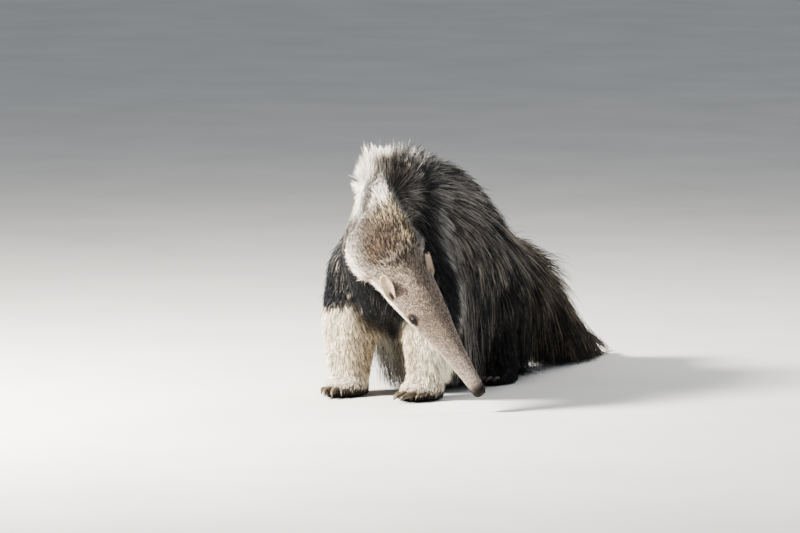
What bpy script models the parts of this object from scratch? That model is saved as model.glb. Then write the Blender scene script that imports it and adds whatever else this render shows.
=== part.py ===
"""Giant anteater, life size, standing with its head lowered and turned to its left.

The animal faces -Y, its left side is +X and +Z is up. Lengths are in metres. The
body is laid out with its withers above x = y = 0 and its soles at z = 0, and
is then moved so that the origin is at the middle of the base of its box.
"""
import math
import random

import bmesh
import bpy
from mathutils import Vector
from mathutils.bvhtree import BVHTree

for old in list(bpy.data.objects):
    bpy.data.objects.remove(old)

random.seed(11)

# Driving dimensions
GAP = 0.0004            # between nodes that meet
WITHERS_Z = 0.630       # skin at the withers
LEG_X = 0.116           # foreleg from the middle plane
RIGHT_FORE_STEP = -0.020    # right foreleg ahead of the left
RIGHT_HIND_STEP = 0.130     # right hind leg behind the left
WRIST_Z = 0.055
ANKLE_Z = 0.048
FLOOR_CLEAR = 0.006     # the lowest that hair hangs
CORE_SHARE = 0.45       # how far out the solids' smooth core takes the coat
LOCK_SINK = 0.011       # how deep a lock's root goes into the core
LOCK_CLEAR = 0.0007     # between a lock and any other node

HEAD_EARS = Vector((0.1615, -0.1990, 0.3535))  # midway between the ears
HEAD_TIP = Vector((0.3948, -0.1891, 0.0486))   # tip of the snout
HEAD_LEFT_HINT = Vector((0.474, 0.812, 0.343))
OCCIPUT_BACK = 0.050    # from the ears back to the occiput
EYE_AHEAD = 0.115       # from the ears forward to the eyes
EYE_RISE = math.radians(14)     # an eye's place above the side of the head
EYE_RADIUS = 0.0092
EYE_SINK = 0.0040       # from the skin in to an eye's centre
LID_HALF = (0.0125, 0.0062)     # a lid's half length and its height from the eye's middle
EAR_BASE = (0.030, 0.068, 0.004)    # ahead, to the side and over
EAR_WAY = (-0.80, 0.03, 0.60)       # ahead, to the side and over
EAR_OUT = (0.35, 0.80, 0.55)        # where its hollow faces, in the same directions
EAR_LENGTH = 0.080
EAR_HALF_WIDTH = 0.0175
EAR_SINK = 0.012        # how far its base goes into the head
EAR_BULGE = 0.011
EAR_THICK = 0.0042
MOUTH_OVER = -0.0085    # the mouth's line below the head's middle
LIP_OFF = 0.0040        # from that line to the middle of a lip

# Claws: the place across the foot, the radius at the root and the size
FORE_CLAWS = ((-0.031, 0.0048, 0.60), (-0.010, 0.0082, 1.15), (0.014, 0.0092, 1.30),
              (0.037, 0.0050, 0.65))
HIND_CLAWS = ((-0.032, 0.0045, 0.80), (-0.017, 0.0055, 1.00), (0.000, 0.0058, 1.05),
              (0.017, 0.0055, 1.00), (0.032, 0.0045, 0.80))
CLAW_ROOT = (0.012, 0.022)      # behind the front of the foot, and above the floor

# Locks: length, half width, half thickness and share of the coat's lift
TORSO_LOCK = (0.120, 0.0200, 0.0048, 1.00)
CREST_LOCK = (0.060, 0.0165, 0.0048, 0.15)
TAIL_LOCK = (0.130, 0.0165, 0.0045, 1.00)
MANE_LOCK = (0.056, 0.0150, 0.0044, 0.15)
MANE_BASE_LENGTH = 0.078        # of the mane next to the withers
MANE_BASE_Y = -0.090
SMOOTH_NECK_X = 0.075           # from here on, the neck's coat is short

COLOURS = {
    "face": (0.30, 0.25, 0.20), "coat": (0.16, 0.14, 0.12), "dark": (0.07, 0.06, 0.055),
    "pale": (0.62, 0.55, 0.44), "claw": (0.12, 0.10, 0.08), "eye": (0.015, 0.01, 0.008),
}
ROUGHNESS = {"eye": 0.08, "claw": 0.45}

HEAD_FORWARD = (HEAD_TIP - HEAD_EARS).normalized()
HEAD_LENGTH = (HEAD_TIP - HEAD_EARS).length
HEAD_UP = HEAD_FORWARD.cross(HEAD_LEFT_HINT).normalized()
HEAD_LEFT = HEAD_UP.cross(HEAD_FORWARD).normalized()


def material(kind):
    """One Principled material for each kind of surface."""
    found = bpy.data.materials.get(kind)
    if found:
        return found
    made = bpy.data.materials.new(kind)
    made.use_nodes = True
    shader = made.node_tree.nodes["Principled BSDF"]
    shader.inputs["Base Color"].default_value = (*COLOURS[kind], 1)
    shader.inputs["Roughness"].default_value = ROUGHNESS.get(kind, 0.85)
    return made


def mesh_object(name, points, faces, kind="coat"):
    """A linked object from points and faces, its normals facing out. Each quad is
    split on the same diagonal, so that a grown copy lies clear of its original."""
    split = []
    for face in faces:
        split += [face] if len(face) != 4 else [face[:3], (face[0], *face[2:])]
    mesh = bpy.data.meshes.new(name)
    mesh.from_pydata([tuple(p) for p in points], [], split)
    work = bmesh.new()
    work.from_mesh(mesh)
    bmesh.ops.recalc_face_normals(work, faces=work.faces)
    work.to_mesh(mesh)
    work.free()
    mesh.materials.append(material(kind))
    obj = bpy.data.objects.new(name, mesh)
    bpy.context.scene.collection.objects.link(obj)
    return obj


class Section:
    """A cross-section: its centre, the way forward, the way up and its sizes."""

    def __init__(self, centre, forward, up, width, rise, drop=None, ridge=0.0):
        self.centre = Vector(centre)
        self.forward = Vector(forward).normalized()
        self.up = Vector(up)
        self.sizes = Vector((width, rise, rise if drop is None else drop, ridge))

    def side(self):
        return self.forward.cross(self.upright()).normalized() * -1

    def upright(self):
        return (self.up - self.forward * self.up.dot(self.forward)).normalized()

    def point(self, angle, grow=0.0):
        """The skin at an angle from the animal's left, over the top."""
        c, s = math.cos(angle), math.sin(angle)
        width, rise, drop, ridge = self.sizes
        narrowed = 1 - ridge * max(0.0, s) ** 1.6
        height = (rise if s > 0 else drop) + grow
        return (self.centre + self.side() * (width + grow) * c * narrowed
                + self.upright() * height * s)

    def outward(self, angle):
        """The unit normal of the skin at an angle."""
        ahead = self.point(angle + 0.02) - self.point(angle - 0.02)
        return ahead.cross(self.forward).normalized()


def mixed(a, b, share):
    made = Section(a.centre.lerp(b.centre, share), a.forward.lerp(b.forward, share),
                   a.up.lerp(b.up, share), 0, 0)
    made.sizes = a.sizes.lerp(b.sizes, share)
    return made


def catmull(p0, p1, p2, p3, t):
    return 0.5 * ((2 * p1) + (p2 - p0) * t + (2 * p0 - 5 * p1 + 4 * p2 - p3) * t * t
                  + (3 * p1 - p0 - 3 * p2 + p3) * t * t * t)


def smooth(stations, steps):
    """Sections on a smooth run through the stations, steps to each span."""
    run = []
    last = len(stations) - 1
    for i in range(last):
        four = [stations[max(i - 1, 0)], stations[i], stations[i + 1],
                stations[min(i + 2, last)]]
        for k in range(steps):
            t = k / steps
            made = mixed(four[1], four[2], t)
            made.centre = catmull(*[s.centre for s in four], t)
            made.sizes = catmull(*[s.sizes for s in four], t)
            run.append(made)
    run.append(stations[last])
    return run


def along_path(rows, up):
    """Sections whose forward direction follows their centres. A row is x, y, z and
    then the sizes."""
    centres = [Vector(row[:3]) for row in rows]
    made = []
    for i, row in enumerate(rows):
        ahead = centres[min(i + 1, len(rows) - 1)] - centres[max(i - 1, 0)]
        made.append(Section(centres[i], ahead, up, *row[3:]))
    return made


def loft(name, sections, sides, kind="coat", start="flat", end="flat", grow=0.0):
    """A closed skin over the sections. An end is flat or a point."""
    points, faces = [], []
    for section in sections:
        for k in range(sides):
            points.append(section.point(2 * math.pi * k / sides, grow))
    for i in range(len(sections) - 1):
        for k in range(sides):
            j = (k + 1) % sides
            a, b = i * sides, (i + 1) * sides
            faces.append((a + k, a + j, b + j, b + k))
    for which, first, section, sign in ((start, 0, sections[0], -1),
                                        (end, len(points) - sides, sections[-1], 1)):
        rim = [first + k for k in range(sides)]
        if which == "flat":
            faces.append(rim)
            continue
        reach = 0.45 * min(section.sizes[0], section.sizes[1]) + grow
        points.append(section.centre + section.forward * sign * reach)
        tip = len(points) - 1
        faces += [(rim[k], rim[(k + 1) % sides], tip) for k in range(sides)]
    return mesh_object(name, points, faces, kind)


def ellipsoid(name, centre, axes, radii, segments=12, rings=8, kind="coat"):
    """A ball with its own axes and radii."""
    points, faces = [], []
    centre = Vector(centre)
    for i in range(1, rings):
        tilt = math.pi * i / rings
        for k in range(segments):
            turn = 2 * math.pi * k / segments
            points.append(centre
                          + axes[0] * radii[0] * math.sin(tilt) * math.cos(turn)
                          + axes[1] * radii[1] * math.sin(tilt) * math.sin(turn)
                          + axes[2] * radii[2] * math.cos(tilt))
    for i in range(rings - 2):
        for k in range(segments):
            j = (k + 1) % segments
            a, b = i * segments, (i + 1) * segments
            faces.append((a + k, a + j, b + j, b + k))
    for sign, row in ((1, 0), (-1, (rings - 2) * segments)):
        points.append(centre + axes[2] * radii[2] * sign)
        pole = len(points) - 1
        faces += [(row + k, row + (k + 1) % segments, pole) for k in range(segments)]
    return mesh_object(name, points, faces, kind)


def tube(name, path, radii, up, sides=6, kind="coat"):
    """A tapered tube along a path, with a pointed far end if its radius is nothing."""
    points, faces = [], []
    for i, at in enumerate(path):
        ahead = (path[min(i + 1, len(path) - 1)] - path[max(i - 1, 0)]).normalized()
        across = ahead.cross(up).normalized()
        over = across.cross(ahead).normalized()
        if radii[i] == 0:
            points.append(at)
            continue
        for k in range(sides):
            turn = 2 * math.pi * k / sides
            points.append(at + (across * math.cos(turn) + over * math.sin(turn)) * radii[i])
    full = len(path) - (1 if radii[-1] == 0 else 0)
    for i in range(full - 1):
        for k in range(sides):
            j = (k + 1) % sides
            a, b = i * sides, (i + 1) * sides
            faces.append((a + k, a + j, b + j, b + k))
    faces.append([k for k in range(sides)])
    last = (full - 1) * sides
    if radii[-1] == 0:
        faces += [(last + k, last + (k + 1) % sides, full * sides) for k in range(sides)]
    else:
        faces.append([last + k for k in range(sides)])
    return mesh_object(name, points, faces, kind)


def largest_body(mesh):
    """Drops all but the largest closed surface of a mesh."""
    work = bmesh.new()
    work.from_mesh(mesh)
    bmesh.ops.triangulate(work, faces=work.faces)
    left = set(work.faces)
    bodies = []
    while left:
        body, edge = set(), [left.pop()]
        while edge:
            face = edge.pop()
            body.add(face)
            for side in face.edges:
                for other in side.link_faces:
                    if other in left:
                        left.discard(other)
                        edge.append(other)
        size = sum(f.verts[0].co.dot(f.verts[1].co.cross(f.verts[2].co)) for f in body)
        bodies.append((size, body))
    keep = max(bodies, key=lambda one: one[0])[1]
    bmesh.ops.delete(work, geom=[f for f in work.faces if f not in keep], context="FACES")
    work.to_mesh(mesh)
    work.free()


def combine(base, others, operation, solver="EXACT"):
    """One Boolean of base with all the others, applied. The others are removed."""
    if not others:
        return base
    tools = bpy.data.collections.new("tools")
    bpy.context.scene.collection.children.link(tools)
    for obj in others:
        bpy.context.scene.collection.objects.unlink(obj)
        tools.objects.link(obj)
    cut = base.modifiers.new("combine", "BOOLEAN")
    cut.operation = operation
    cut.solver = solver
    cut.operand_type = "COLLECTION"
    cut.collection = tools
    bpy.context.view_layer.update()
    graph = bpy.context.evaluated_depsgraph_get()
    made = bpy.data.meshes.new_from_object(base.evaluated_get(graph))
    base.modifiers.clear()
    base.data = made
    for obj in others:
        bpy.data.objects.remove(obj)
    bpy.data.collections.remove(tools)
    largest_body(base.data)
    return base


def tree_of(obj):
    """A search tree of an object's faces."""
    mesh = obj.data
    return BVHTree.FromPolygons([v.co.copy() for v in mesh.vertices],
                                [tuple(p.vertices) for p in mesh.polygons])


# The shape of the body, section by section


def coated(row, share):
    """The sizes of a section with a share of its coat: half width, rise, drop and
    ridge, and then the coat's depth at the side, on top and below."""
    width, rise, drop, ridge, side, top, below = row
    return width + side * share, rise + top * share, drop + below * share, ridge


def torso_sections(steps=2, share=CORE_SHARE):
    """From the rump forward to the chest. A row is y, z and coated()'s sizes."""
    rows = [
        (0.705, 0.262, 0.050, 0.050, 0.055, 0.00, 0.020, 0.030, 0.030),
        (0.665, 0.272, 0.090, 0.086, 0.095, 0.10, 0.030, 0.040, 0.060),
        (0.585, 0.295, 0.122, 0.106, 0.122, 0.26, 0.036, 0.050, 0.090),
        (0.480, 0.328, 0.143, 0.126, 0.148, 0.46, 0.034, 0.058, 0.100),
        (0.360, 0.364, 0.152, 0.176, 0.174, 0.55, 0.032, 0.066, 0.100),
        (0.230, 0.390, 0.154, 0.204, 0.190, 0.58, 0.028, 0.070, 0.085),
        (0.100, 0.400, 0.148, 0.226, 0.198, 0.66, 0.020, 0.070, 0.055),
        (-0.010, 0.404, 0.134, WITHERS_Z - 0.404, 0.200, 0.78, 0.012, 0.070, 0.022),
        (-0.080, 0.400, 0.104, 0.196, 0.188, 0.86, 0.008, 0.060, 0.014),
        (-0.130, 0.388, 0.076, 0.146, 0.148, 0.70, 0.006, 0.030, 0.012),
        (-0.162, 0.375, 0.040, 0.068, 0.078, 0.30, 0.006, 0.015, 0.010),
    ]
    placed = [(0, row[0], row[1], *coated(row[2:], share)) for row in rows]
    return smooth(along_path(placed, (0, 0, 1)), steps)


def tail_sections(steps=2, share=CORE_SHARE):
    """From the tip forward to the root, its coat a curtain that hangs to the floor.
    A row is x, y, z and coated()'s sizes."""
    rows = [
        (0.030, 1.115, 0.040, 0.012, 0.012, 0.012, 0, 0.022, 0.022, 0.018),
        (0.030, 1.045, 0.058, 0.024, 0.024, 0.024, 0, 0.040, 0.040, 0.026),
        (0.025, 0.970, 0.102, 0.032, 0.034, 0.034, 0, 0.048, 0.046, 0.060),
        (0.020, 0.890, 0.160, 0.040, 0.042, 0.042, 0, 0.052, 0.050, 0.108),
        (0.010, 0.800, 0.216, 0.052, 0.054, 0.054, 0, 0.050, 0.050, 0.145),
        (0.000, 0.710, 0.256, 0.066, 0.066, 0.070, 0, 0.036, 0.040, 0.120),
        (0.000, 0.610, 0.280, 0.075, 0.075, 0.080, 0, 0.020, 0.030, 0.040),
    ]
    placed = [(*row[:3], *coated(row[3:], share)) for row in rows]
    return smooth(along_path(placed, (0, 0, 1)), steps)


def head_sections(steps=2):
    """From the occiput forward to the tip of the snout."""
    rows = [
        (-OCCIPUT_BACK, 0.084, 0.072, 0.070),
        (0.000, 0.074, 0.064, 0.064),
        (0.050, 0.069, 0.057, 0.060),
        (EYE_AHEAD, 0.0595, 0.049, 0.053),
        (0.170, 0.047, 0.041, 0.043),
        (0.225, 0.036, 0.034, 0.035),
        (0.290, 0.0275, 0.027, 0.0275),
        (0.345, 0.0225, 0.023, 0.0225),
        (HEAD_LENGTH - 0.012, 0.0205, 0.0205, 0.020),
        (HEAD_LENGTH - 0.002, 0.0155, 0.015, 0.015),
    ]
    made = [Section(HEAD_EARS + HEAD_FORWARD * row[0], HEAD_FORWARD, HEAD_UP, *row[1:])
            for row in rows]
    return smooth(made, steps)


def neck_sections(steps=2, share=CORE_SHARE):
    """From inside the chest to the occiput, its way forward and its way up turning
    from the body's to the head's. A row is a centre, the turn's share and sizes."""
    occiput = head_sections(1)[0]
    rows = [
        ((0.000, 0.030, 0.480), 0.00, 0.088, 0.148, 0.130, 0.70, 0.008, 0.045, 0.010),
        ((0.002, -0.050, 0.475), 0.12, 0.090, 0.152, 0.125, 0.75, 0.008, 0.045, 0.010),
        ((0.034, -0.107, 0.452), 0.36, 0.097, 0.135, 0.112, 0.68, 0.008, 0.038, 0.010),
        ((0.075, -0.153, 0.431), 0.62, 0.108, 0.103, 0.100, 0.35, 0.008, 0.022, 0.010),
        ((0.107, -0.184, 0.411), 0.85, 0.100, 0.086, 0.086, 0.10, 0.006, 0.008, 0.008),
    ]
    made = []
    for centre, turned, *sizes in rows:
        forward = Vector((0, -1, -0.15)).lerp(HEAD_FORWARD, turned)
        made.append(Section(centre, forward, Vector((0, 0, 1)).lerp(HEAD_UP, turned),
                            *coated(sizes, share)))
    made.append(occiput)
    return smooth(made, steps)


def leg_sections(rows, side, step, steps=2):
    """A leg's sections from its top down. side is 1 on the left."""
    placed = [(side * row[0], row[1] + step, *row[2:]) for row in rows]
    return smooth(along_path(placed, (0, -1, 0)), steps)


def foreleg_rows():
    return [
        (0.066, 0.030, 0.480, 0.050, 0.080),
        (0.096, 0.022, 0.390, 0.068, 0.098),
        (LEG_X - 0.002, 0.020, 0.300, 0.077, 0.089),
        (LEG_X + 0.002, 0.012, 0.225, 0.077, 0.083),
        (LEG_X + 0.001, 0.000, 0.155, 0.072, 0.075),
        (LEG_X, -0.006, 0.095, 0.062, 0.064),
        (LEG_X - 0.002, -0.010, WRIST_Z, 0.053, 0.054),
    ]


def hindleg_rows():
    return [
        (0.070, 0.440, 0.370, 0.055, 0.085),
        (0.098, 0.425, 0.290, 0.068, 0.095),
        (0.114, 0.405, 0.215, 0.058, 0.072),
        (0.118, 0.412, 0.145, 0.045, 0.052),
        (0.117, 0.428, 0.090, 0.040, 0.044),
        (0.116, 0.430, ANKLE_Z, 0.041, 0.044),
    ]


def foot_sections(wrist, rows):
    """A foot's sections from the leg down to its flat sole. A row is a height, the
    way ahead of the leg and two half widths."""
    made = []
    for height, ahead, half_x, half_y in rows:
        centre = Vector((wrist.x, wrist.y - ahead, height))
        made.append(Section(centre, (0, 0, -1), (0, -1, 0), half_x, half_y))
    return made


def forefoot_sections(wrist):
    return foot_sections(wrist, [
        (WRIST_Z - GAP, 0.000, 0.053, 0.054),
        (0.040, 0.012, 0.058, 0.068),
        (0.020, 0.021, 0.060, 0.078),
        (0.006, 0.021, 0.058, 0.074),
        (0.000, 0.020, 0.050, 0.064),
    ])


def hindfoot_sections(ankle):
    return foot_sections(ankle, [
        (ANKLE_Z - GAP, 0.000, 0.041, 0.044),
        (0.034, 0.018, 0.046, 0.064),
        (0.017, 0.030, 0.050, 0.084),
        (0.005, 0.030, 0.048, 0.081),
        (0.000, 0.028, 0.041, 0.072),
    ])


# Nodes


def build_legs():
    """Each leg, cut off square where its foot begins."""
    made = {}
    for name, rows, steps_by_side in (
            ("foreleg", foreleg_rows(), {1: 0.0, -1: RIGHT_FORE_STEP}),
            ("hindleg", hindleg_rows(), {1: 0.0, -1: RIGHT_HIND_STEP})):
        for side, step in steps_by_side.items():
            run = leg_sections(rows, side, step)
            run[-1] = Section(run[-1].centre, (0, 0, -1), (0, -1, 0), *run[-1].sizes[:3])
            kind = "pale" if name == "foreleg" else "dark"
            label = f"{name}_{'left' if side > 0 else 'right'}"
            made[label] = (loft(label, run, 14, kind), run)
    return made


def build_claw(name, root, path_steps, radius, foot_tool):
    """A curved claw, from inside its foot out to its point, cut where it leaves."""
    path = [root]
    for step in path_steps:
        path.append(path[-1] + Vector(step))
    last = len(path) - 1
    radii = [radius * (1 - 0.55 * (i / last) ** 1.5) for i in range(last)] + [0]
    claw = tube(name, path, radii, Vector((0, 0, 1)), 6, "claw")
    return combine(claw, [foot_tool], "DIFFERENCE")


def build_feet(legs):
    """The feet with their claws. Fore claws curl in and back beside the knuckles, and
    hind claws point ahead."""
    for label, (_, run) in legs.items():
        wrist, side = run[-1].centre, 1 if label.endswith("left") else -1
        fore = label.startswith("foreleg")
        sections = forefoot_sections(wrist) if fore else hindfoot_sections(wrist)
        foot_name = label.replace("leg", "foot")
        loft(foot_name, sections, 16, "pale" if fore else "dark")
        claws = FORE_CLAWS if fore else HIND_CLAWS
        for number, (across, radius, size) in enumerate(claws, 1):
            front = sections[2]
            reach = front.sizes[1] * math.sqrt(1 - (across / front.sizes[0]) ** 2)
            root = Vector((front.centre.x + side * across,
                           front.centre.y - reach + CLAW_ROOT[0], CLAW_ROOT[1]))
            if fore:
                steps = [(0, -0.018, 0.001), (-side * 0.003 * size, -0.013 * size, -0.002),
                         (-side * 0.004 * size, -0.010 * size, -0.005),
                         (-side * 0.004 * size, -0.004 * size, -0.008)]
            else:
                steps = [(0, -0.014, 0.001), (0, -0.010 * size, -0.003), (0, -0.008 * size, -0.006)]
            tool = loft("tool", sections, 16, grow=GAP)
            claw_name = f"{'fore' if fore else 'hind'}claw_{label.split('_')[1]}_{number}"
            build_claw(claw_name, root, steps, radius, tool)


def head_point(ahead, left=0.0, over=0.0):
    """A point given in the head's own directions, from midway between the ears."""
    return HEAD_EARS + HEAD_FORWARD * ahead + HEAD_LEFT * left + HEAD_UP * over


def head_at(ahead):
    """The head's section at a distance ahead of the ears."""
    run = head_sections(4)
    return min(run, key=lambda s: abs((s.centre - HEAD_EARS).dot(HEAD_FORWARD) - ahead))


def head_way(ahead, left, over):
    """A unit direction given in the head's own directions."""
    return (HEAD_FORWARD * ahead + HEAD_LEFT * left + HEAD_UP * over).normalized()


def eye_angle(side):
    return EYE_RISE if side > 0 else math.pi - EYE_RISE


def eye_centre(side):
    section = head_at(EYE_AHEAD)
    angle = eye_angle(side)
    return section.point(angle) - section.outward(angle) * EYE_SINK


def lid_path(side, upper):
    """The edge of a lid, from the eye's front corner to its back corner."""
    centre = eye_centre(side)
    out = head_at(EYE_AHEAD).outward(eye_angle(side))
    over = (HEAD_UP - out * HEAD_UP.dot(out)).normalized() * (1 if upper else -1)
    length, height = LID_HALF
    path = []
    for k in range(7):
        turn = math.pi * k / 6
        across, high = math.cos(turn), math.sin(turn)
        lift = 0.0075 - 0.0035 * across * across
        path.append(centre + HEAD_FORWARD * across * length + over * high * height + out * lift)
    return path


def mouth_path(over):
    """The line of the mouth round the tip of the snout, at a height in the head's
    own directions."""
    path = []
    for k in range(9):
        share = -1 + k / 4
        ahead = HEAD_LENGTH - 0.006 - 0.045 * abs(share) ** 1.6
        section = head_at(ahead)
        reach = section.sizes[0] * math.sqrt(max(0.0, 1 - (over / section.sizes[1]) ** 2))
        path.append(head_point(ahead, reach * min(1, abs(share) * 1.7) * math.copysign(1, share),
                               over))
    path[4] = head_point(HEAD_LENGTH + 0.0015, 0, over)
    return path


def build_eyes():
    for side, name in ((1, "eye_left"), (-1, "eye_right")):
        ellipsoid(name, eye_centre(side), (HEAD_FORWARD, HEAD_LEFT, HEAD_UP),
                  [EYE_RADIUS] * 3, 12, 8, "eye")


def build_head():
    """The skull and snout with lids, lips, nostrils and the small mouth."""
    head = loft("head", head_sections(2), 24, "face", end="point")
    added = []
    for side in (1, -1):
        for upper in (True, False):
            path = lid_path(side, upper)
            added.append(tube("lid", path, [0.0022] + [0.0034] * 5 + [0.0022], HEAD_UP, 6))
    for over in (MOUTH_OVER + LIP_OFF, MOUTH_OVER - LIP_OFF):
        added.append(tube("lip", mouth_path(over), [0.0014] + [0.0030] * 7 + [0.0014],
                          HEAD_UP, 6))
    combine(head, added, "UNION")
    taken = [tube("mouth", mouth_path(MOUTH_OVER), [0.0006] + [0.0021] * 7 + [0.0006],
                  HEAD_UP, 4)]
    for side in (1, -1):
        taken.append(ellipsoid("nostril", head_point(HEAD_LENGTH + 0.0005, side * 0.0085, 0.006),
                               (HEAD_FORWARD, HEAD_LEFT, HEAD_UP), (0.007, 0.0028, 0.0042), 8, 6))
        taken.append(ellipsoid("socket", eye_centre(side), (HEAD_FORWARD, HEAD_LEFT, HEAD_UP),
                               [EYE_RADIUS + GAP] * 3, 12, 8))
    taken.append(build_trunk(GAP))
    return combine(head, taken, "DIFFERENCE")


def build_ear(side):
    """A small round cup that stands back and up from the head, its hollow facing ahead
    and out."""
    base = head_point(EAR_BASE[0], side * EAR_BASE[1], EAR_BASE[2])
    along = head_way(EAR_WAY[0], side * EAR_WAY[1], EAR_WAY[2])
    out = head_way(EAR_OUT[0], side * EAR_OUT[1], EAR_OUT[2])
    out = (out - along * out.dot(along)).normalized()
    across = along.cross(out).normalized()
    points, faces = [], []
    rows, arc = 7, 7
    for i in range(rows):
        share = i / (rows - 1)
        half = EAR_HALF_WIDTH * (0.62 + 1.1 * share) * math.sqrt(max(0.06, 1 - share ** 2.6))
        bulge = EAR_BULGE * (1 - 0.55 * share)
        middle = base + along * (EAR_LENGTH * share - EAR_SINK)
        for inner in (False, True):
            for k in range(arc):
                a = -1 + 2 * k / (arc - 1)
                if inner:
                    a = -a * 0.86
                depth = bulge * (1 - a * a) - (EAR_THICK * (1 - 0.4 * share) if inner else 0)
                points.append(middle + across * half * a - out * depth)
    around = 2 * arc
    for i in range(rows - 1):
        for k in range(around):
            j = (k + 1) % around
            a, b = i * around, (i + 1) * around
            faces.append((a + k, a + j, b + j, b + k))
    for first in (0, (rows - 1) * around):
        for k in range(arc - 1):
            faces.append((first + k, first + k + 1,
                          first + around - 2 - k, first + around - 1 - k))
    name = "ear_left" if side > 0 else "ear_right"
    ear = mesh_object(name, points, faces, "face")
    return combine(ear, [loft("tool", head_sections(2), 24, end="point", grow=GAP),
                         loft("tool", neck_sections(2), 20, grow=GAP)], "DIFFERENCE")


def build_trunk(grow=0.0):
    """The torso's core: the trunk with its shoulders, hips and a share of the coat."""
    return loft("torso", torso_sections(2), 24, start="point", end="point", grow=grow)


def build_neck(torso_tool):
    """The neck's core, meeting the torso on the torso's own surface."""
    run = neck_sections(2)
    last = run[-1]
    run[-1] = Section(last.centre - last.forward * GAP, last.forward, last.up, *last.sizes[:3])
    return combine(loft("neck", run, 20, "face"), [torso_tool], "DIFFERENCE")


def build_tail(torso_tool):
    return combine(loft("tail", tail_sections(2), 16, "dark", start="point"), [torso_tool],
                   "DIFFERENCE")


# The locks of the coat


def lock_mesh(path, out, width, thick, kind, grow=0.0):
    """A flat, tapered, bent lock along a path of four points, its flat side facing
    out. Its root is blunt and its far end is a point."""
    points, faces = [], []
    for i, share in enumerate((0.75, 1.0, 0.72)):
        ahead = (path[i + 1] - path[max(i - 1, 0)]).normalized()
        across = ahead.cross(out).normalized()
        over = across.cross(ahead).normalized()
        half, deep = width * share + grow, thick * share + grow
        points += [path[i] + across * half, path[i] + over * deep,
                   path[i] - across * half, path[i] - over * deep]
    points.append(path[3] + (path[3] - path[2]).normalized() * grow)
    for i in range(2):
        for k in range(4):
            j = (k + 1) % 4
            a, b = 4 * i, 4 * (i + 1)
            faces.append((a + k, a + j, b + j, b + k))
    faces.append((0, 1, 2, 3))
    faces += [(8 + k, 8 + (k + 1) % 4, 12) for k in range(4)]
    return mesh_object("lock", points, faces, kind)


def lock_path(root, out, lie, length, lift):
    """From inside the core, up through the coat's depth and along the lie."""
    path = [root - out * LOCK_SINK - lie * 0.10 * length,
            root + out * 0.70 * lift + lie * 0.30 * length,
            root + out * lift + lie * 0.65 * length,
            root + out * 0.80 * lift + lie * length]
    for point in path:
        point.z = max(point.z, FLOOR_CLEAR + 0.006)
    path[3].z = max(path[3].z - 0.006, FLOOR_CLEAR)
    return path


def clear_of(obj, trees):
    """Whether an object crosses none of the search trees."""
    own = tree_of(obj)
    return not any(own.overlap(tree) for tree in trees)


def add_lock(placed, trees, kind, root, out, lie, length, lift, width, thick):
    """Adds one lock, made shorter until it is clear of the other nodes, or none."""
    for share in (1.0, 0.8, 0.6, 0.42):
        path = lock_path(root, out, lie, length * share, lift)
        fat = lock_mesh(path, out, width, thick, kind, LOCK_CLEAR)
        clear = clear_of(fat, trees)
        bpy.data.objects.remove(fat)
        if clear:
            placed.append(lock_mesh(path, out, width, thick, kind))
            return


def along(run, share):
    """The section at a share of the way along a run."""
    at = share * (len(run) - 1)
    i = max(0, min(int(at), len(run) - 2))
    return mixed(run[i], run[i + 1], at - i)


def hung(back, out, hang):
    """The lie of a coat that points back over the body and hangs down by a share."""
    way = back * (1 - hang) + Vector((0, 0, -1)) * hang
    return (way - out * way.dot(out)).normalized()


def rooted_locks(core_run, full_run, rows, angles, trees, kind, style):
    """Locks in staggered rows over a run of sections. style gives a lock's lie,
    length, width, thickness and share of the lift from its place."""
    placed = []
    for i in range(rows):
        for k, degrees in enumerate(angles):
            step = (angles[1] - angles[0]) * (0.5 if i % 2 else 0.0)
            angle = math.radians(degrees + step + random.uniform(-4, 4))
            share = (i + 0.5 + random.uniform(-0.2, 0.2)) / rows
            core, full = along(core_run, share), along(full_run, share)
            root = core.point(angle)
            back = (along(core_run, max(share - 0.03, 0)).point(angle)
                    - along(core_run, share + 0.03).point(angle)).normalized()
            out = core.outward(angle)
            out = (out - back * out.dot(back)).normalized()
            look = style(core.centre, math.degrees(angle), back, out)
            if look is None:
                continue
            lie, length, width, thick, lifted = look
            lift = (full.point(angle) - root).dot(out) * lifted
            add_lock(placed, trees, kind, root, out, lie,
                     length * random.uniform(0.88, 1.12), max(lift, 0.006), width, thick)
    return placed


def torso_style(centre, degrees, back, out):
    """Back along the spine, back and down on the flanks, longest above the hind
    legs, and none on the chest or along the middle of the belly."""
    y, high = centre.y, math.sin(math.radians(degrees))
    if high < -0.80 or (y < 0.03 and high < 0.60) or (y < 0.10 and high > 0.86):
        return None
    rear = max(0.0, y) / 0.7
    hang = min(0.9, 0.12 + 0.64 * (1 - max(high, 0)) + 0.14 * rear)
    longer = 0.055 * (1 - abs(high)) + 0.045 * rear
    return hung(back, out, hang), TORSO_LOCK[0] + longer, *TORSO_LOCK[1:]


def crest_style(centre, degrees, back, out):
    """Upright hair along the ridge of the withers, leaning ahead at its front end
    and back at its rear end."""
    lie = Vector((0, 0.22 + 5.0 * centre.y, 1.0)).normalized()
    return (lie + out * 0.3).normalized(), *CREST_LOCK


def tail_style(centre, degrees, back, out):
    """Back along the top of the tail, and down to the floor at its sides."""
    high = math.sin(math.radians(degrees))
    hang = 0.16 + 0.54 * (1 - max(high, 0))
    length = min(0.17, 0.05 + 0.9 * centre.z) if high < 0.5 else TAIL_LOCK[0]
    return hung(back, out, hang), length, *TAIL_LOCK[1:]


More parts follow.
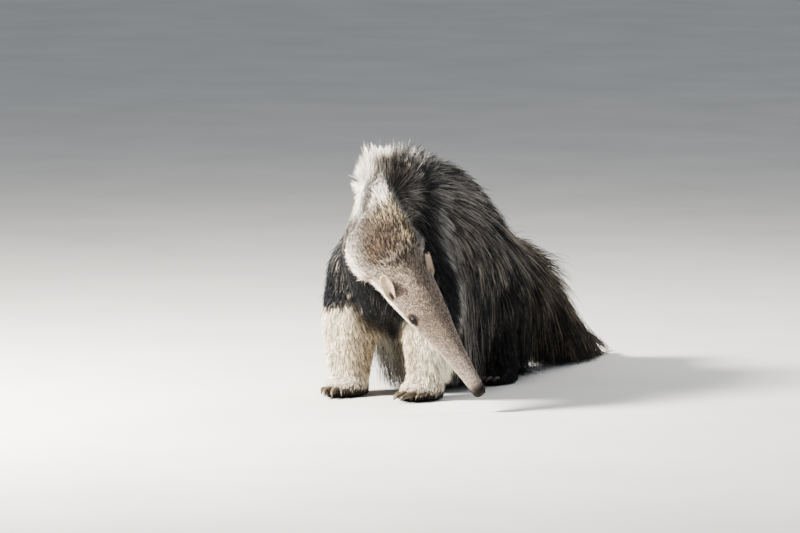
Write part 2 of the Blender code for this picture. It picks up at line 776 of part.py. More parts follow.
def neck_style(centre, degrees, back, out):
    """Upright hair on the crest of the neck, and none on its smooth front part."""
    if centre.x > SMOOTH_NECK_X:
        return None
    lie = (out * 0.9 + back * 0.3 + Vector((-0.2, 0, 0.3))).normalized()
    return lie, MANE_LOCK[0] if centre.y < MANE_BASE_Y else MANE_BASE_LENGTH, *MANE_LOCK[1:]


def settle():
    """Moves the body so that the origin is the middle of the base of its box."""
    bpy.context.view_layer.update()
    nodes = [o for o in bpy.data.objects if o.type == "MESH"]
    corners = [v.co for o in nodes for v in o.data.vertices]
    low = Vector([min(c[i] for c in corners) for i in range(3)])
    high = Vector([max(c[i] for c in corners) for i in range(3)])
    shift = Vector((-(low.x + high.x) / 2, -(low.y + high.y) / 2, -low.z))
    for obj in nodes:
        for vertex in obj.data.vertices:
            vertex.co += shift
        obj.data.shade_smooth()
        obj.data.set_sharp_from_angle(angle=math.radians(50))


def main():
    legs = build_legs()
    for label, (leg, _) in legs.items():
        tools = [build_trunk(GAP)]
        if label == "foreleg_left":
            tools.append(loft("tool", neck_sections(2), 20, grow=GAP))
        combine(leg, tools, "DIFFERENCE")
    build_feet(legs)
    build_eyes()
    build_head()
    build_ear(1)
    build_ear(-1)
    trees = [tree_of(o) for o in bpy.data.objects]
    torso = build_trunk()
    neck = build_neck(build_trunk(GAP))
    tail = build_tail(build_trunk(GAP))
    core = [tree_of(torso)]
    runs = neck_sections(2), neck_sections(2, 1.0)
    combine(neck, rooted_locks(*runs, 10, (58, 74, 90, 106, 122), trees + core, "face",
                               neck_style), "UNION")
    trees.append(tree_of(neck))
    runs = tail_sections(2), tail_sections(2, 1.0)
    combine(tail, rooted_locks(*runs, 8, (-35, -5, 25, 55, 85, 115, 145, 175, 205),
                               trees + core, "dark", tail_style), "UNION")
    trees.append(tree_of(tail))
    runs = torso_sections(2), torso_sections(2, 1.0)
    placed = rooted_locks(*runs, 13, range(-50, 224, 22), trees, "coat", torso_style)
    runs = runs[0][12:19], runs[1][12:19]
    placed += rooted_locks(*runs, 6, (60, 76, 92, 108), trees, "coat", crest_style)
    combine(torso, placed, "UNION")
    settle()


main()
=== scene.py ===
"""Looks of the giant anteater: one skin, its coat as solid mesh tufts, and the eyes,
lids, ears, claws, nostrils and mouth.

The shape tables repeat those of the part's source. They are in its design frame, in
metres: the animal faces -Y, its left side is +X, and its withers are above x = y = 0.
SHIFT, read from the frame, takes them to the row frame.
"""
import math

import bmesh
import bpy
import numpy as np
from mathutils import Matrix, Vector
from mathutils.bvhtree import BVHTree
from mathutils.kdtree import KDTree


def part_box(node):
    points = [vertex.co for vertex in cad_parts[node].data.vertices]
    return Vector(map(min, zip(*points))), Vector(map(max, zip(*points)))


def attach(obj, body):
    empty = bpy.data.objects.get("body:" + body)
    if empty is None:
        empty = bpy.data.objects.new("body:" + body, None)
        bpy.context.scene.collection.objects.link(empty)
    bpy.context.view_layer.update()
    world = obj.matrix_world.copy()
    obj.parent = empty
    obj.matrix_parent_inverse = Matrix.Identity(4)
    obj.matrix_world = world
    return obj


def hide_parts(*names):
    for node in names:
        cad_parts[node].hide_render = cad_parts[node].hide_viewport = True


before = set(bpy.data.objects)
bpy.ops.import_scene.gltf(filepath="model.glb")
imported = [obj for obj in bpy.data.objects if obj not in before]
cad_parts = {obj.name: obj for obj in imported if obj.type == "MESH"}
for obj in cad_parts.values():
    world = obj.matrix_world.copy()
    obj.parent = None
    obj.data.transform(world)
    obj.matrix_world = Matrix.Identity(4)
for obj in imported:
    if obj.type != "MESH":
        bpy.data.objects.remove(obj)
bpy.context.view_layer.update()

rng = np.random.default_rng(7)

# Driving dimensions, as in the part's source
WITHERS_Z = 0.630
LEG_X = 0.116
RIGHT_FORE_STEP = -0.020
RIGHT_HIND_STEP = 0.130
WRIST_Z = 0.055
ANKLE_Z = 0.048
HEAD_EARS = Vector((0.1615, -0.1990, 0.3535))
HEAD_TIP = Vector((0.3948, -0.1891, 0.0486))
HEAD_LEFT_HINT = Vector((0.474, 0.812, 0.343))
OCCIPUT_BACK = 0.050
EYE_AHEAD = 0.115
EYE_RISE = math.radians(14)
EYE_RADIUS = 0.0092
EYE_SINK = 0.0040
EAR_BASE = (0.030, 0.068, 0.004)
EAR_WAY = (-0.80, 0.03, 0.60)
EAR_OUT = (0.35, 0.80, 0.55)
EAR_LENGTH = 0.080
EAR_HALF_WIDTH = 0.0175
EAR_SINK = 0.012
EAR_BULGE = 0.011
MOUTH_OVER = -0.0085
LIP_OFF = 0.0040

# Finer sizes of the head and the claws
MOUTH_LENGTH = 0.026
PAD_RADIUS = 0.0182     # the bare pad at the end of the snout
PAD_OVER = 0.0005
PAD_BACK = 0.014        # how far behind the tip it starts
PAD_NOSE = 0.0015       # and how far beyond the tip it reaches
PAD_BLUNT = 3.3
EAR_LIFT = 0.009        # how far an ear's front edge stands off the head
EYE_DEEPER = 0.0016     # how much deeper an eye sits than its solid
LID_OPEN = (0.0088, 0.0066, 0.0054)     # the lids' half opening: along, above, below
LID_REACH = (0.0160, 0.0128)            # how far the bare skin round an eye reaches
LID_CREASE = 0.0007
LID_TUCK = 0.0022       # how far the lids' outer edge lies under the head's skin
EYE_FRONT = 0.06        # how far an eye's front is raised, in radii
EYE_GAP = 1.07          # how far from an eye's centre its lids lie, in radii
EAR_THICKNESS = 0.0026
# Painted shade in an ear: where its opening lies, and the wider shade round it
EAR_HOLE = (0.25, 0.15, 0.50)   # an ear's opening: its place, its spread along and across
EAR_SHADE = (0.34, 0.30, 0.85)  # and the same of the shade round it
CLAW_TIP = 0.0003       # a claw's radius at its tip
CLAW_SUNK = 0.012       # how far a claw's root lies inside the foot
CLAW_Z = 0.022
CLAW_RISE = 0.001       # how far a claw first rises

# How deep the short coats lie over the skin
FACE_FUR = 0.003
LEG_FUR = 0.009
FOOT_FUR = 0.004

UNDERCOAT = 0.034       # how far the dense coat lifts the top of the shoulders and back

SKIN_VOXEL = 0.0048
FOOT_OVERLAP = 0.02     # how far a foot reaches up into its leg
DOME = 0.45             # a domed end's height, as a share of its section's size
FLOOR_CLEAR = 0.004     # the lowest that hair hangs
SOLE_Z = 0.006          # no hair grows below this
EYE_BARE = 0.0100       # nor this near an eye's centre
EAR_BARE = 0.0150       # or these places along an ear's middle line
EAR_LINE = (0.0, 0.014, 0.028)
BURIED = 0.016          # a guide this far from the skin lies inside the body

# The photograph's view
CAMERA_AZIMUTH = 30
CAMERA_ELEVATION = 6
CAMERA_DISTANCE = 20.0
PIXELS_PER_METRE = 360
IMAGE_WIDTH = 800
AIM = Vector((0.0217, 0.0125, 0.3617))

HEAD_FORWARD = (HEAD_TIP - HEAD_EARS).normalized()
HEAD_LENGTH = (HEAD_TIP - HEAD_EARS).length
HEAD_UP = HEAD_FORWARD.cross(HEAD_LEFT_HINT).normalized()
HEAD_LEFT = HEAD_UP.cross(HEAD_FORWARD).normalized()


# The shape of the body, section by section


class Section:
    """A cross-section: its centre, the way forward, the way up and its sizes."""

    def __init__(self, centre, forward, up, width, rise, drop=None, ridge=0.0):
        self.centre = Vector(centre)
        self.forward = Vector(forward).normalized()
        self.up = Vector(up)
        self.sizes = Vector((width, rise, rise if drop is None else drop, ridge))

    def side(self):
        """The way to the animal's left."""
        return self.forward.cross(self.upright()).normalized() * -1

    def upright(self):
        """The way up, square to the way forward."""
        return (self.up - self.forward * self.up.dot(self.forward)).normalized()

    def point(self, angle, grow=0.0):
        """The skin at an angle from the animal's left, over the top."""
        c, s = math.cos(angle), math.sin(angle)
        width, rise, drop, ridge = self.sizes
        narrowed = 1 - ridge * max(0.0, s) ** 1.6
        height = (rise if s > 0 else drop) + grow
        return (self.centre + self.side() * (width + grow) * c * narrowed
                + self.upright() * height * s)

    def outward(self, angle):
        """The unit normal of the skin at an angle."""
        ahead = self.point(angle + 0.02) - self.point(angle - 0.02)
        return ahead.cross(self.forward).normalized()


def catmull(p0, p1, p2, p3, t):
    """A smooth curve from the second point to the third."""
    return 0.5 * ((2 * p1) + (p2 - p0) * t + (2 * p0 - 5 * p1 + 4 * p2 - p3) * t * t
                  + (3 * p1 - p0 - 3 * p2 + p3) * t * t * t)


def spans(stops, steps):
    """On the way through the stops: the four that shape each step, its share of the
    span and its share of the whole way."""
    last = len(stops) - 1
    for i in range(last):
        four = [stops[max(i - 1, 0)], stops[i], stops[i + 1], stops[min(i + 2, last)]]
        for k in range(steps):
            yield four, k / steps, (i + k / steps) / last


def smooth(stations, steps):
    """Sections on a smooth run through the stations, steps to each span."""
    run = []
    for four, t, _ in spans(stations, steps):
        centre = catmull(*[s.centre for s in four], t)
        sizes = catmull(*[s.sizes for s in four], t)
        before, after = four[1:3]
        run.append(Section(centre, before.forward.lerp(after.forward, t),
                           before.up.lerp(after.up, t), *sizes))
    return run + [stations[-1]]


def ahead_at(points, i):
    """The way forward at one of a line of points."""
    return points[min(i + 1, len(points) - 1)] - points[max(i - 1, 0)]


def along_path(rows, up):
    """Sections whose forward direction follows their centres. A row is x, y, z and
    then the sizes."""
    centres = [Vector(row[:3]) for row in rows]
    return [Section(centres[i], ahead_at(centres, i), up, *row[3:])
            for i, row in enumerate(rows)]


def back_lift(y):
    """The share of the undercoat's depth on the back at a place along it."""
    front = min(1.0, max(0.0, (y + 0.165) / 0.060))
    rear = min(1.0, max(0.0, (0.480 - y) / 0.140))
    return front * rear * (1 + 0.5 * max(0.0, 1 - abs(y + 0.090) / 0.060))


def torso_sections(steps):
    """From the rump forward to the chest, without the long coat. A row is y, z, half
    width, rise, drop and ridge."""
    rows = [
        (0.705, 0.262, 0.050, 0.050, 0.055, 0.00),
        (0.665, 0.272, 0.090, 0.086, 0.095, 0.10),
        (0.585, 0.295, 0.122, 0.106, 0.122, 0.26),
        (0.480, 0.328, 0.143, 0.126, 0.148, 0.46),
        (0.360, 0.364, 0.152, 0.176, 0.174, 0.55),
        (0.230, 0.390, 0.154, 0.204, 0.190, 0.58),
        (0.100, 0.400, 0.148, 0.226, 0.198, 0.66),
        (-0.010, 0.404, 0.134, WITHERS_Z - 0.404, 0.200, 0.78),
        (-0.080, 0.400, 0.104, 0.196, 0.188, 0.86),
        (-0.130, 0.388, 0.076, 0.146, 0.148, 0.70),
        (-0.162, 0.375, 0.040, 0.068, 0.078, 0.30),
    ]
    lifted = [(0, y, z, width, rise + UNDERCOAT * back_lift(y), drop, ridge)
              for y, z, width, rise, drop, ridge in rows]
    return smooth(along_path(lifted, (0, 0, 1)), steps)


def tail_sections(steps):
    """From the tip forward to the root, without the coat."""
    rows = [
        (0.030, 1.115, 0.040, 0.012, 0.012, 0.012, 0),
        (0.030, 1.045, 0.058, 0.024, 0.024, 0.024, 0),
        (0.025, 0.970, 0.102, 0.032, 0.034, 0.034, 0),
        (0.020, 0.890, 0.160, 0.040, 0.042, 0.042, 0),
        (0.010, 0.800, 0.216, 0.052, 0.054, 0.054, 0),
        (0.000, 0.710, 0.256, 0.066, 0.066, 0.070, 0),
        (0.000, 0.610, 0.280, 0.075, 0.075, 0.080, 0),
    ]
    return smooth(along_path(rows, (0, 0, 1)), steps)


def head_sections(steps):
    """From the occiput forward to the tip of the snout."""
    rows = [
        (-OCCIPUT_BACK, 0.084, 0.072, 0.070),
        (0.000, 0.074, 0.064, 0.064),
        (0.050, 0.069, 0.057, 0.060),
        (EYE_AHEAD, 0.0595, 0.049, 0.053),
        (0.170, 0.047, 0.041, 0.043),
        (0.225, 0.036, 0.034, 0.035),
        (0.290, 0.0275, 0.027, 0.0275),
        (0.345, 0.0225, 0.023, 0.0225),
        (HEAD_LENGTH - 0.012, 0.0205, 0.0205, 0.020),
        (HEAD_LENGTH - 0.002, 0.0155, 0.015, 0.015),
    ]
    made = [Section(HEAD_EARS + HEAD_FORWARD * row[0], HEAD_FORWARD, HEAD_UP, *row[1:])
            for row in rows]
    return smooth(made, steps)


def neck_sections(steps):
    """From inside the chest to the occiput, without the coat. A row is a centre, the
    turn's share from the body's way to the head's, and the sizes."""
    rows = [
        ((0.000, 0.030, 0.480), 0.00, 0.088, 0.148, 0.130, 0.70),
        ((0.002, -0.050, 0.475), 0.12, 0.090, 0.152, 0.125, 0.75),
        ((0.034, -0.107, 0.452), 0.36, 0.097, 0.135, 0.112, 0.68),
        ((0.075, -0.153, 0.431), 0.62, 0.108, 0.103, 0.100, 0.35),
        ((0.107, -0.184, 0.411), 0.85, 0.100, 0.086, 0.086, 0.10),
    ]
    made = []
    for centre, turned, *sizes in rows:
        forward = Vector((0, -1, -0.15)).lerp(HEAD_FORWARD, turned)
        made.append(Section(centre, forward, Vector((0, 0, 1)).lerp(HEAD_UP, turned), *sizes))
    made.append(head_sections(1)[0])
    return smooth(made, steps)


def leg_sections(rows, side, step, steps):
    """A leg's sections from its top down. side is 1 on the left."""
    moved = [(side * row[0], row[1] + step, *row[2:]) for row in rows]
    return smooth(along_path(moved, (0, -1, 0)), steps)


def foreleg_rows():
    return [
        (0.066, 0.030, 0.480, 0.050, 0.080),
        (0.096, 0.022, 0.390, 0.068, 0.098),
        (LEG_X - 0.002, 0.020, 0.300, 0.077, 0.089),
        (LEG_X + 0.002, 0.012, 0.225, 0.077, 0.083),
        (LEG_X + 0.001, 0.000, 0.155, 0.072, 0.075),
        (LEG_X, -0.006, 0.095, 0.062, 0.064),
        (LEG_X - 0.002, -0.010, WRIST_Z, 0.053, 0.054),
    ]


def hindleg_rows():
    return [
        (0.070, 0.440, 0.370, 0.055, 0.085),
        (0.098, 0.425, 0.290, 0.068, 0.095),
        (0.114, 0.405, 0.215, 0.058, 0.072),
        (0.118, 0.412, 0.145, 0.045, 0.052),
        (0.117, 0.428, 0.090, 0.040, 0.044),
        (0.116, 0.430, ANKLE_Z, 0.041, 0.044),
    ]


def foot_sections(wrist, rows, steps):
    """A foot's sections from the leg down to its flat sole."""
    made = []
    for height, ahead, half_x, half_y in rows:
        centre = Vector((wrist.x, wrist.y - ahead, height))
        made.append(Section(centre, (0, 0, -1), (0, -1, 0), half_x, half_y))
    return smooth(made, steps)


def forefoot_sections(wrist, steps):
    return foot_sections(wrist, [
        (WRIST_Z, 0.000, 0.053, 0.054),
        (0.040, 0.012, 0.058, 0.068),
        (0.020, 0.021, 0.060, 0.078),
        (0.006, 0.021, 0.058, 0.074),
        (0.000, 0.020, 0.050, 0.064),
    ], steps)


def hindfoot_sections(ankle, steps):
    return foot_sections(ankle, [
        (ANKLE_Z, 0.000, 0.041, 0.044),
        (0.034, 0.018, 0.046, 0.064),
        (0.017, 0.030, 0.050, 0.084),
        (0.005, 0.030, 0.048, 0.081),
        (0.000, 0.028, 0.041, 0.072),
    ], steps)


def head_point(ahead, left=0.0, over=0.0):
    """A point given in the head's own directions, from midway between the ears."""
    return HEAD_EARS + HEAD_FORWARD * ahead + HEAD_LEFT * left + HEAD_UP * over


HEAD_RUN = head_sections(8)


def head_at(ahead):
    """The head's section at a distance ahead of the ears."""
    return min(HEAD_RUN, key=lambda s: abs((s.centre - HEAD_EARS).dot(HEAD_FORWARD) - ahead))


def head_way(ahead, left, over):
    """A unit direction given in the head's own directions."""
    return (HEAD_FORWARD * ahead + HEAD_LEFT * left + HEAD_UP * over).normalized()


def side_name(side):
    return "left" if side > 0 else "right"


def eye_angle(side):
    return EYE_RISE if side > 0 else math.pi - EYE_RISE


def eye_centre(side):
    section = head_at(EYE_AHEAD)
    angle = eye_angle(side)
    return section.point(angle) - section.outward(angle) * EYE_SINK


low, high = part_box("eye_left")
SHIFT = (low + high) / 2 - eye_centre(1)


def limbs(steps):
    """Each leg and foot: its name, side and sections from the top down."""
    made = []
    for name, rows, foot, right_step in (
            ("foreleg", foreleg_rows(), forefoot_sections, RIGHT_FORE_STEP),
            ("hindleg", hindleg_rows(), hindfoot_sections, RIGHT_HIND_STEP)):
        for side, step in ((1, 0.0), (-1, right_step)):
            run = leg_sections(rows, side, step, steps)
            made.append((name, side, run))
            made.append((name.replace("leg", "foot"), side, foot(run[-1].centre, steps)))
    return made


# Meshes


def linked(name, data):
    """An object with this mesh, light or camera, in the scene."""
    obj = bpy.data.objects.new(name, data)
    bpy.context.scene.collection.objects.link(obj)
    return obj


def mesh_piece(name, points, faces, material):
    """An object in the row frame from points in the design frame."""
    mesh = bpy.data.meshes.new(name)
    mesh.from_pydata([tuple(Vector(p) + SHIFT) for p in points], [], faces)
    work = bmesh.new()
    work.from_mesh(mesh)
    bmesh.ops.recalc_face_normals(work, faces=work.faces)
    work.to_mesh(mesh)
    work.free()
    mesh.shade_smooth()
    mesh.materials.append(material)
    return linked(name, mesh)


def placed(piece, slot, *nodes):
    """Ties a piece to its body and hides the nodes that it stands for. The slot is not used."""
    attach(piece, "root")
    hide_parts(*nodes)


def grid_faces(rows, sides, closed=True):
    """The quads between neighbouring rows of points, each row a ring or an open line."""
    faces = []
    for i in range(rows - 1):
        for k in range(sides if closed else sides - 1):
            a, b = i * sides + k, i * sides + (k + 1) % sides
            faces.append((a, b, b + sides, a + sides))
    return faces


def fan(first, sides, tip):
    """The triangles from a ring to one point."""
    return [(first + k, first + (k + 1) % sides, tip) for k in range(sides)]


def loft_data(sections, sides, grow=0.0, domes=(False, False)):
    """Points and faces of a closed skin over the sections, with flat or domed ends."""
    points = [section.point(2 * math.pi * k / sides, grow)
              for section in sections for k in range(sides)]
    faces = grid_faces(len(sections), sides)
    for first, section, sign, dome in ((0, sections[0], -1, domes[0]),
                                       (len(points) - sides, sections[-1], 1, domes[1])):
        reach = (DOME * min(section.sizes[0], section.sizes[1]) + grow) if dome else 0
        points.append(section.centre + section.forward * sign * reach)
        faces += fan(first, sides, len(points) - 1)
    return points, faces


def tube_data(path, radii, up, sides):
    """Points and faces of a tapered tube along a path, its ends closed."""
    points = []
    for i, at in enumerate(path):
        ahead = ahead_at(path, i).normalized()
        across = ahead.cross(up).normalized()
        over = across.cross(ahead).normalized()
        for k in range(sides):
            turn = 2 * math.pi * k / sides
            points.append(at + (across * math.cos(turn) + over * math.sin(turn)) * radii[i])
    ends = [tuple(range(sides)), tuple(len(points) - sides + k for k in range(sides))]
    return points, grid_faces(len(path), sides) + ends


def joined(parts):
    """Several point and face lists as one."""
    points, faces = [], []
    for more_points, more_faces in parts:
        base = len(points)
        points += more_points
        faces += [tuple(base + i for i in face) for face in more_faces]
    return points, faces


def applied(obj):
    """Bakes an object's modifiers into its mesh."""
    bpy.context.view_layer.update()
    graph = bpy.context.evaluated_depsgraph_get()
    made = bpy.data.meshes.new_from_object(obj.evaluated_get(graph))
    obj.modifiers.clear()
    obj.data = made
    return obj


# Materials


def nodes_of(name):
    material = bpy.data.materials.new(name)
    material.use_nodes = True
    tree = material.node_tree
    return material, tree, tree.nodes["Principled BSDF"]


def add(tree, kind, **values):
    """A node with some of its inputs or properties set."""
    node = tree.nodes.new(kind)
    for key, value in values.items():
        if key in node.inputs:
            node.inputs[key].default_value = value
        else:
            setattr(node, key, value)
    return node


def noise_over(tree, scale, detail, stretch=(1, 1, 1)):
    """Noise over the object's own coordinates."""
    place = add(tree, "ShaderNodeTexCoord")
    turned = add(tree, "ShaderNodeMapping", Scale=stretch)
    noise = add(tree, "ShaderNodeTexNoise", Scale=scale, Detail=detail)
    tree.links.new(place.outputs["Object"], turned.inputs["Vector"])
    tree.links.new(turned.outputs["Vector"], noise.inputs["Vector"])
    return noise.outputs["Fac"]


def bumped(tree, height, strength, distance):
    """Gives the material a bump by a height."""
    bump = add(tree, "ShaderNodeBump", Strength=strength, Distance=distance)
    tree.links.new(height, bump.inputs["Height"])
    tree.links.new(bump.outputs["Normal"], tree.nodes["Principled BSDF"].inputs["Normal"])


def set_surface(shader, roughness, gloss):
    shader.inputs["Roughness"].default_value = roughness
    shader.inputs["Specular IOR Level"].default_value = gloss


def hair_material(name, roughness, speckle_scale, gloss=0.35):
    """Colour from the coat's own attribute, broken up by fine and broad noise."""
    material, tree, shader = nodes_of(name)
    link = tree.links.new
    colour = add(tree, "ShaderNodeVertexColor", layer_name="coat").outputs["Color"]
    for scale, detail, least, most in ((speckle_scale, 3.0, 0.72, 1.26), (14.0, 2.0, 0.80, 1.20)):
        ramp = add(tree, "ShaderNodeMapRange")
        ramp.inputs["To Min"].default_value = least
        ramp.inputs["To Max"].default_value = most
        scaled = add(tree, "ShaderNodeVectorMath", operation="SCALE")
        link(noise_over(tree, scale, detail), ramp.inputs["Value"])
        link(colour, scaled.inputs[0])
        link(ramp.outputs["Result"], scaled.inputs["Scale"])
        colour = scaled.outputs["Vector"]
    link(colour, shader.inputs["Base Color"])
    set_surface(shader, roughness, gloss)
    return material


def skin_material():
    """The coat's colour at its roots, with a bump of fine short hair."""
    material = hair_material("skin", 0.85, 420.0, 0.2)
    tree = material.node_tree
    bumped(tree, noise_over(tree, 600.0, 4.0), 0.5, 0.002)
    return material


def noise_material(name, dark, pale, scale, roughness, bump_strength, gloss=0.5,
                   stretch=(1, 1, 1)):
    """Two colours mixed by noise, with the same noise as bump."""
    material, tree, shader = nodes_of(name)
    noise = noise_over(tree, scale, 4.0, stretch)
    ramp = add(tree, "ShaderNodeValToRGB")
    for element, position, colour in zip(ramp.color_ramp.elements, (0.30, 0.70), (dark, pale)):
        element.position = position
        element.color = (*colour, 1)
    tree.links.new(noise, ramp.inputs["Fac"])
    tree.links.new(ramp.outputs["Color"], shader.inputs["Base Color"])
    bumped(tree, noise, bump_strength, 0.001)
    set_surface(shader, roughness, gloss)
    return material


def floor_material():
    return noise_material("floor", (0.60, 0.59, 0.57), (0.66, 0.65, 0.63), 2.0, 0.9, 0.02)


def bare_skin():
    return noise_material("bare_skin", (0.012, 0.010, 0.009), (0.022, 0.018, 0.016), 700, 0.70,
                          0.5, 0.15)


def lip_skin():
    return noise_material("lip_skin", (0.020, 0.015, 0.012), (0.050, 0.037, 0.030), 900, 0.60,
                          0.5, 0.15)


# Very dark: painted shade for the mouth's slit and the nostrils
def painted_hole_shade_material():
    return noise_material("painted_hole_shade", (0.004, 0.003, 0.003), (0.010, 0.007, 0.006), 300, 0.8, 0.2)


def eye_material():
    return noise_material("eye", (0.004, 0.003, 0.002), (0.014, 0.008, 0.005), 120, 0.08, 0.0,
                          0.22)


def horn_material():
    """Claw, its grain drawn out along the claws."""
    return noise_material("horn", (0.030, 0.024, 0.018), (0.15, 0.115, 0.08), 90, 0.42, 0.4,
                          stretch=(1, 0.25, 1))


# The coat's lie, lengths and markings


def smoothstep(value, low_end, high_end):
    """Nought below the low end, one above the high end, and smooth between."""
    t = np.clip((value - low_end) / (high_end - low_end), 0, 1)
    return t * t * (3 - 2 * t)


def eased(value, low_end, high_end):
    """The same for a single number."""
    return float(smoothstep(value, low_end, high_end))


def unit(rows, spare=0.0):
    """Each row at length one. A spare keeps rows of zeros from dividing by zero."""
    return rows / (np.linalg.norm(rows, axis=1, keepdims=True) + spare)


def tree_of(points):
    """A tree that finds the nearest of the points."""
    tree = KDTree(len(points))
    for i, point in enumerate(points):
        tree.insert(point, i)
    tree.balance()
    return tree


# The body's parts, in the order in which their coats grow
PARTS = ["head", "neck", "torso", "tail", "foreleg", "forefoot", "hindleg", "hindfoot"]
LIMBS = PARTS[4:]


def nodes_for(part):
    """A part's nodes: one, or for a limb one on each side."""
    return [f"{part}_left", f"{part}_right"] if part in LIMBS else [part]


def hung(back, out, hang):
    """The lie of a coat that points back over the body and hangs down by a share."""
    way = back * (1 - hang) + Vector((0, 0, -1)) * hang
    return (way - out * way.dot(out)).normalized()


def crest_way(y):
    """Where the crest's hair points: ahead and to the right at its front end, up over
    the withers, and back behind them."""
    front = (1 - eased(y, -0.075, 0.020)) * (1 - 0.8 * eased(-y, 0.085, 0.120))
    behind = eased(y, 0.020, 0.200)
    return Vector((-0.20 * front, -0.28 * front + 1.15 * behind, 1.0 - 0.25 * behind)).normalized()


def torso_lie(centre, high, back, out, share):
    """Lie, length, stand, fall, width, wave, density in thousands per square metre."""
    y = centre.y
    rear = eased(y, 0.0, 0.60)
    top = eased(high, 0.35, 0.92)
    below = eased(-high, 0.15, 0.60)
    crest = eased(high, 0.60, 0.90) * (1 - eased(y, 0.03, 0.20)) * (1 - eased(-y, 0.082, 0.108))
    hang = min(0.94, 0.14 + 0.68 * (1 - max(high, 0)) + 0.14 * rear + 0.1 * below)
    if y < 0.0:
        hang = max(hang, 0.75)
    lie = hung(back, out, hang).lerp(crest_way(y), crest).normalized()
    length = 0.032 + 0.085 * eased(y, -0.02, 0.30) + 0.060 * eased(y, 0.25, 0.65)
    topped = 0.064 - 0.018 * eased(y, 0.32, 0.46) + 0.085 * eased(y, 0.56, 0.68)
    topped -= 0.042 * eased(-y, 0.088, 0.114)
    length = length * (1 - top) + topped * top
    length += 0.175 * below * eased(y, -0.06, 0.06) * (1 - eased(y, 0.68, 0.74))
    length = length * (1 - crest) + (0.042 + 0.040 * eased(-y, 0.02, 0.09)) * crest
    stand = 0.22 + 0.42 * top * eased(y, -0.02, 0.12) * (1 - crest)
    stand -= 0.34 * top * (eased(y, 0.30, 0.44) - 1.2 * eased(y, 0.56, 0.66))
    stand -= 0.20 * eased(-y, 0.08, 0.11)
    flat = eased(-out.x, 0.25, 0.75) * eased(-y, 0.04, 0.10)
    length *= 1 - 0.55 * flat
    length += 0.070 * eased(-high, 0.20, 0.50) * eased(y, 0.02, 0.08) * (1 - eased(y, 0.22, 0.34))
    if y > 0.0:
        stand = max(stand, -0.88 * high)
    fall = 0.22 + 1.40 * below + 0.15 * rear * (1 - top)
    width = 0.00075 + 0.00050 * rear
    wave = 0.0020 + 0.0060 * rear
    return lie, length, stand, fall * (1 - crest), width, wave, 31 + 22 * crest


def tail_lie(centre, high, back, out, share):
    """Long, and longest away from the tip. Over the root it stands up."""
    top = eased(high, 0.2, 0.9)
    full = eased(share, 0.12, 0.48)
    raised = eased(share, 0.68, 0.88)
    hang = 0.18 + 0.56 * (1 - max(high, 0))
    length = 0.120 - 0.040 * eased(share, 0.04, 0.30)
    length += 0.150 * full * (1 - top) + 0.135 * top * raised
    stand = max(0.24 + top * (0.68 * raised - 0.08), -0.80 * high)
    return hung(back, out, hang), length, stand, 0.50 - 0.22 * top, 0.0013, 0.009, 38


def neck_lie(centre, high, back, out, share):
    """Short, but for the nape, the crest at the neck's root and a fringe low on the
    sides."""
    nape = eased(high, 0.45, 0.88)
    crown = 1 - eased(share, 0.15, 0.32)
    fringe = math.exp(-((high + 0.34) / 0.17) ** 2) * eased(share, 0.45, 0.70)
    length = 0.010 + 0.006 * (1 - share) + 0.020 * fringe
    length += nape * (0.012 + 0.006 * (1 - share)) * (1 - crown) + nape * crown * 0.048
    stand = 0.20 - 0.10 * crown + 0.34 * nape * (1 - crown) + 0.28 * fringe
    lie = (back * (1 - nape * crown) + crest_way(centre.y) * nape * crown
           + Vector((0, 0, -0.7)) * fringe).normalized()
    return lie, length, stand, 0.02, 0.00062, 0.001, 132


def head_lie(centre, high, back, out, share):
    """Very short, with a fringe along the jaw."""
    fringe = math.exp(-((high + 0.46) / 0.18) ** 2) * (1 - eased(share, 0.20, 0.46))
    length = 0.0100 - 0.0060 * eased(share, 0.0, 0.40) + 0.018 * fringe
    lie = (back + Vector((0, 0, -0.5)) * fringe).normalized()
    return lie, length, 0.22 + 0.30 * fringe, 0.0, 0.00055, 0.0, 270


def foreleg_lie(centre, high, back, out, share):
    """Straight down, longer on the outer side and above."""
    upper = eased(centre.z, 0.12, 0.24)
    outer = eased(out.x * math.copysign(1, centre.x), 0.2, 0.9)
    length = 0.026 + 0.006 * upper + 0.018 * outer
    return Vector((0, 0.25, -1.0)).normalized(), length, 0.22 + 0.26 * outer, 0.1, 0.0009, 0.002, 66


def foot_lie(centre, high, back, out, share):
    return Vector((0, -0.5, -1.0)).normalized(), 0.013, 0.22, 0.0, 0.0008, 0.0, 110


def hindleg_lie(centre, high, back, out, share):
    return Vector((0, 0.2, -1.0)).normalized(), 0.036, 0.26, 0.15, 0.0010, 0.002, 45


# Each part's lie, rings to a tuft, tufts to a clump, how strongly they lean together,
# and slot
COATS = {"head": (head_lie, 2, 3, 0.05, "face_coat"),
         "neck": (neck_lie, 3, 4, 0.28, "neck_coat"),
         "torso": (torso_lie, 4, 13, 0.62, "body_coat"),
         "tail": (tail_lie, 4, 12, 0.60, "tail_coat"),
         "foreleg": (foreleg_lie, 3, 8, 0.50, "foreleg_coat"),
         "forefoot": (foot_lie, 2, 6, 0.30, "foreleg_coat"),
         "hindleg": (hindleg_lie, 3, 9, 0.50, "hindleg_coat"),
         "hindfoot": (foot_lie, 2, 6, 0.30, "hindleg_coat")}


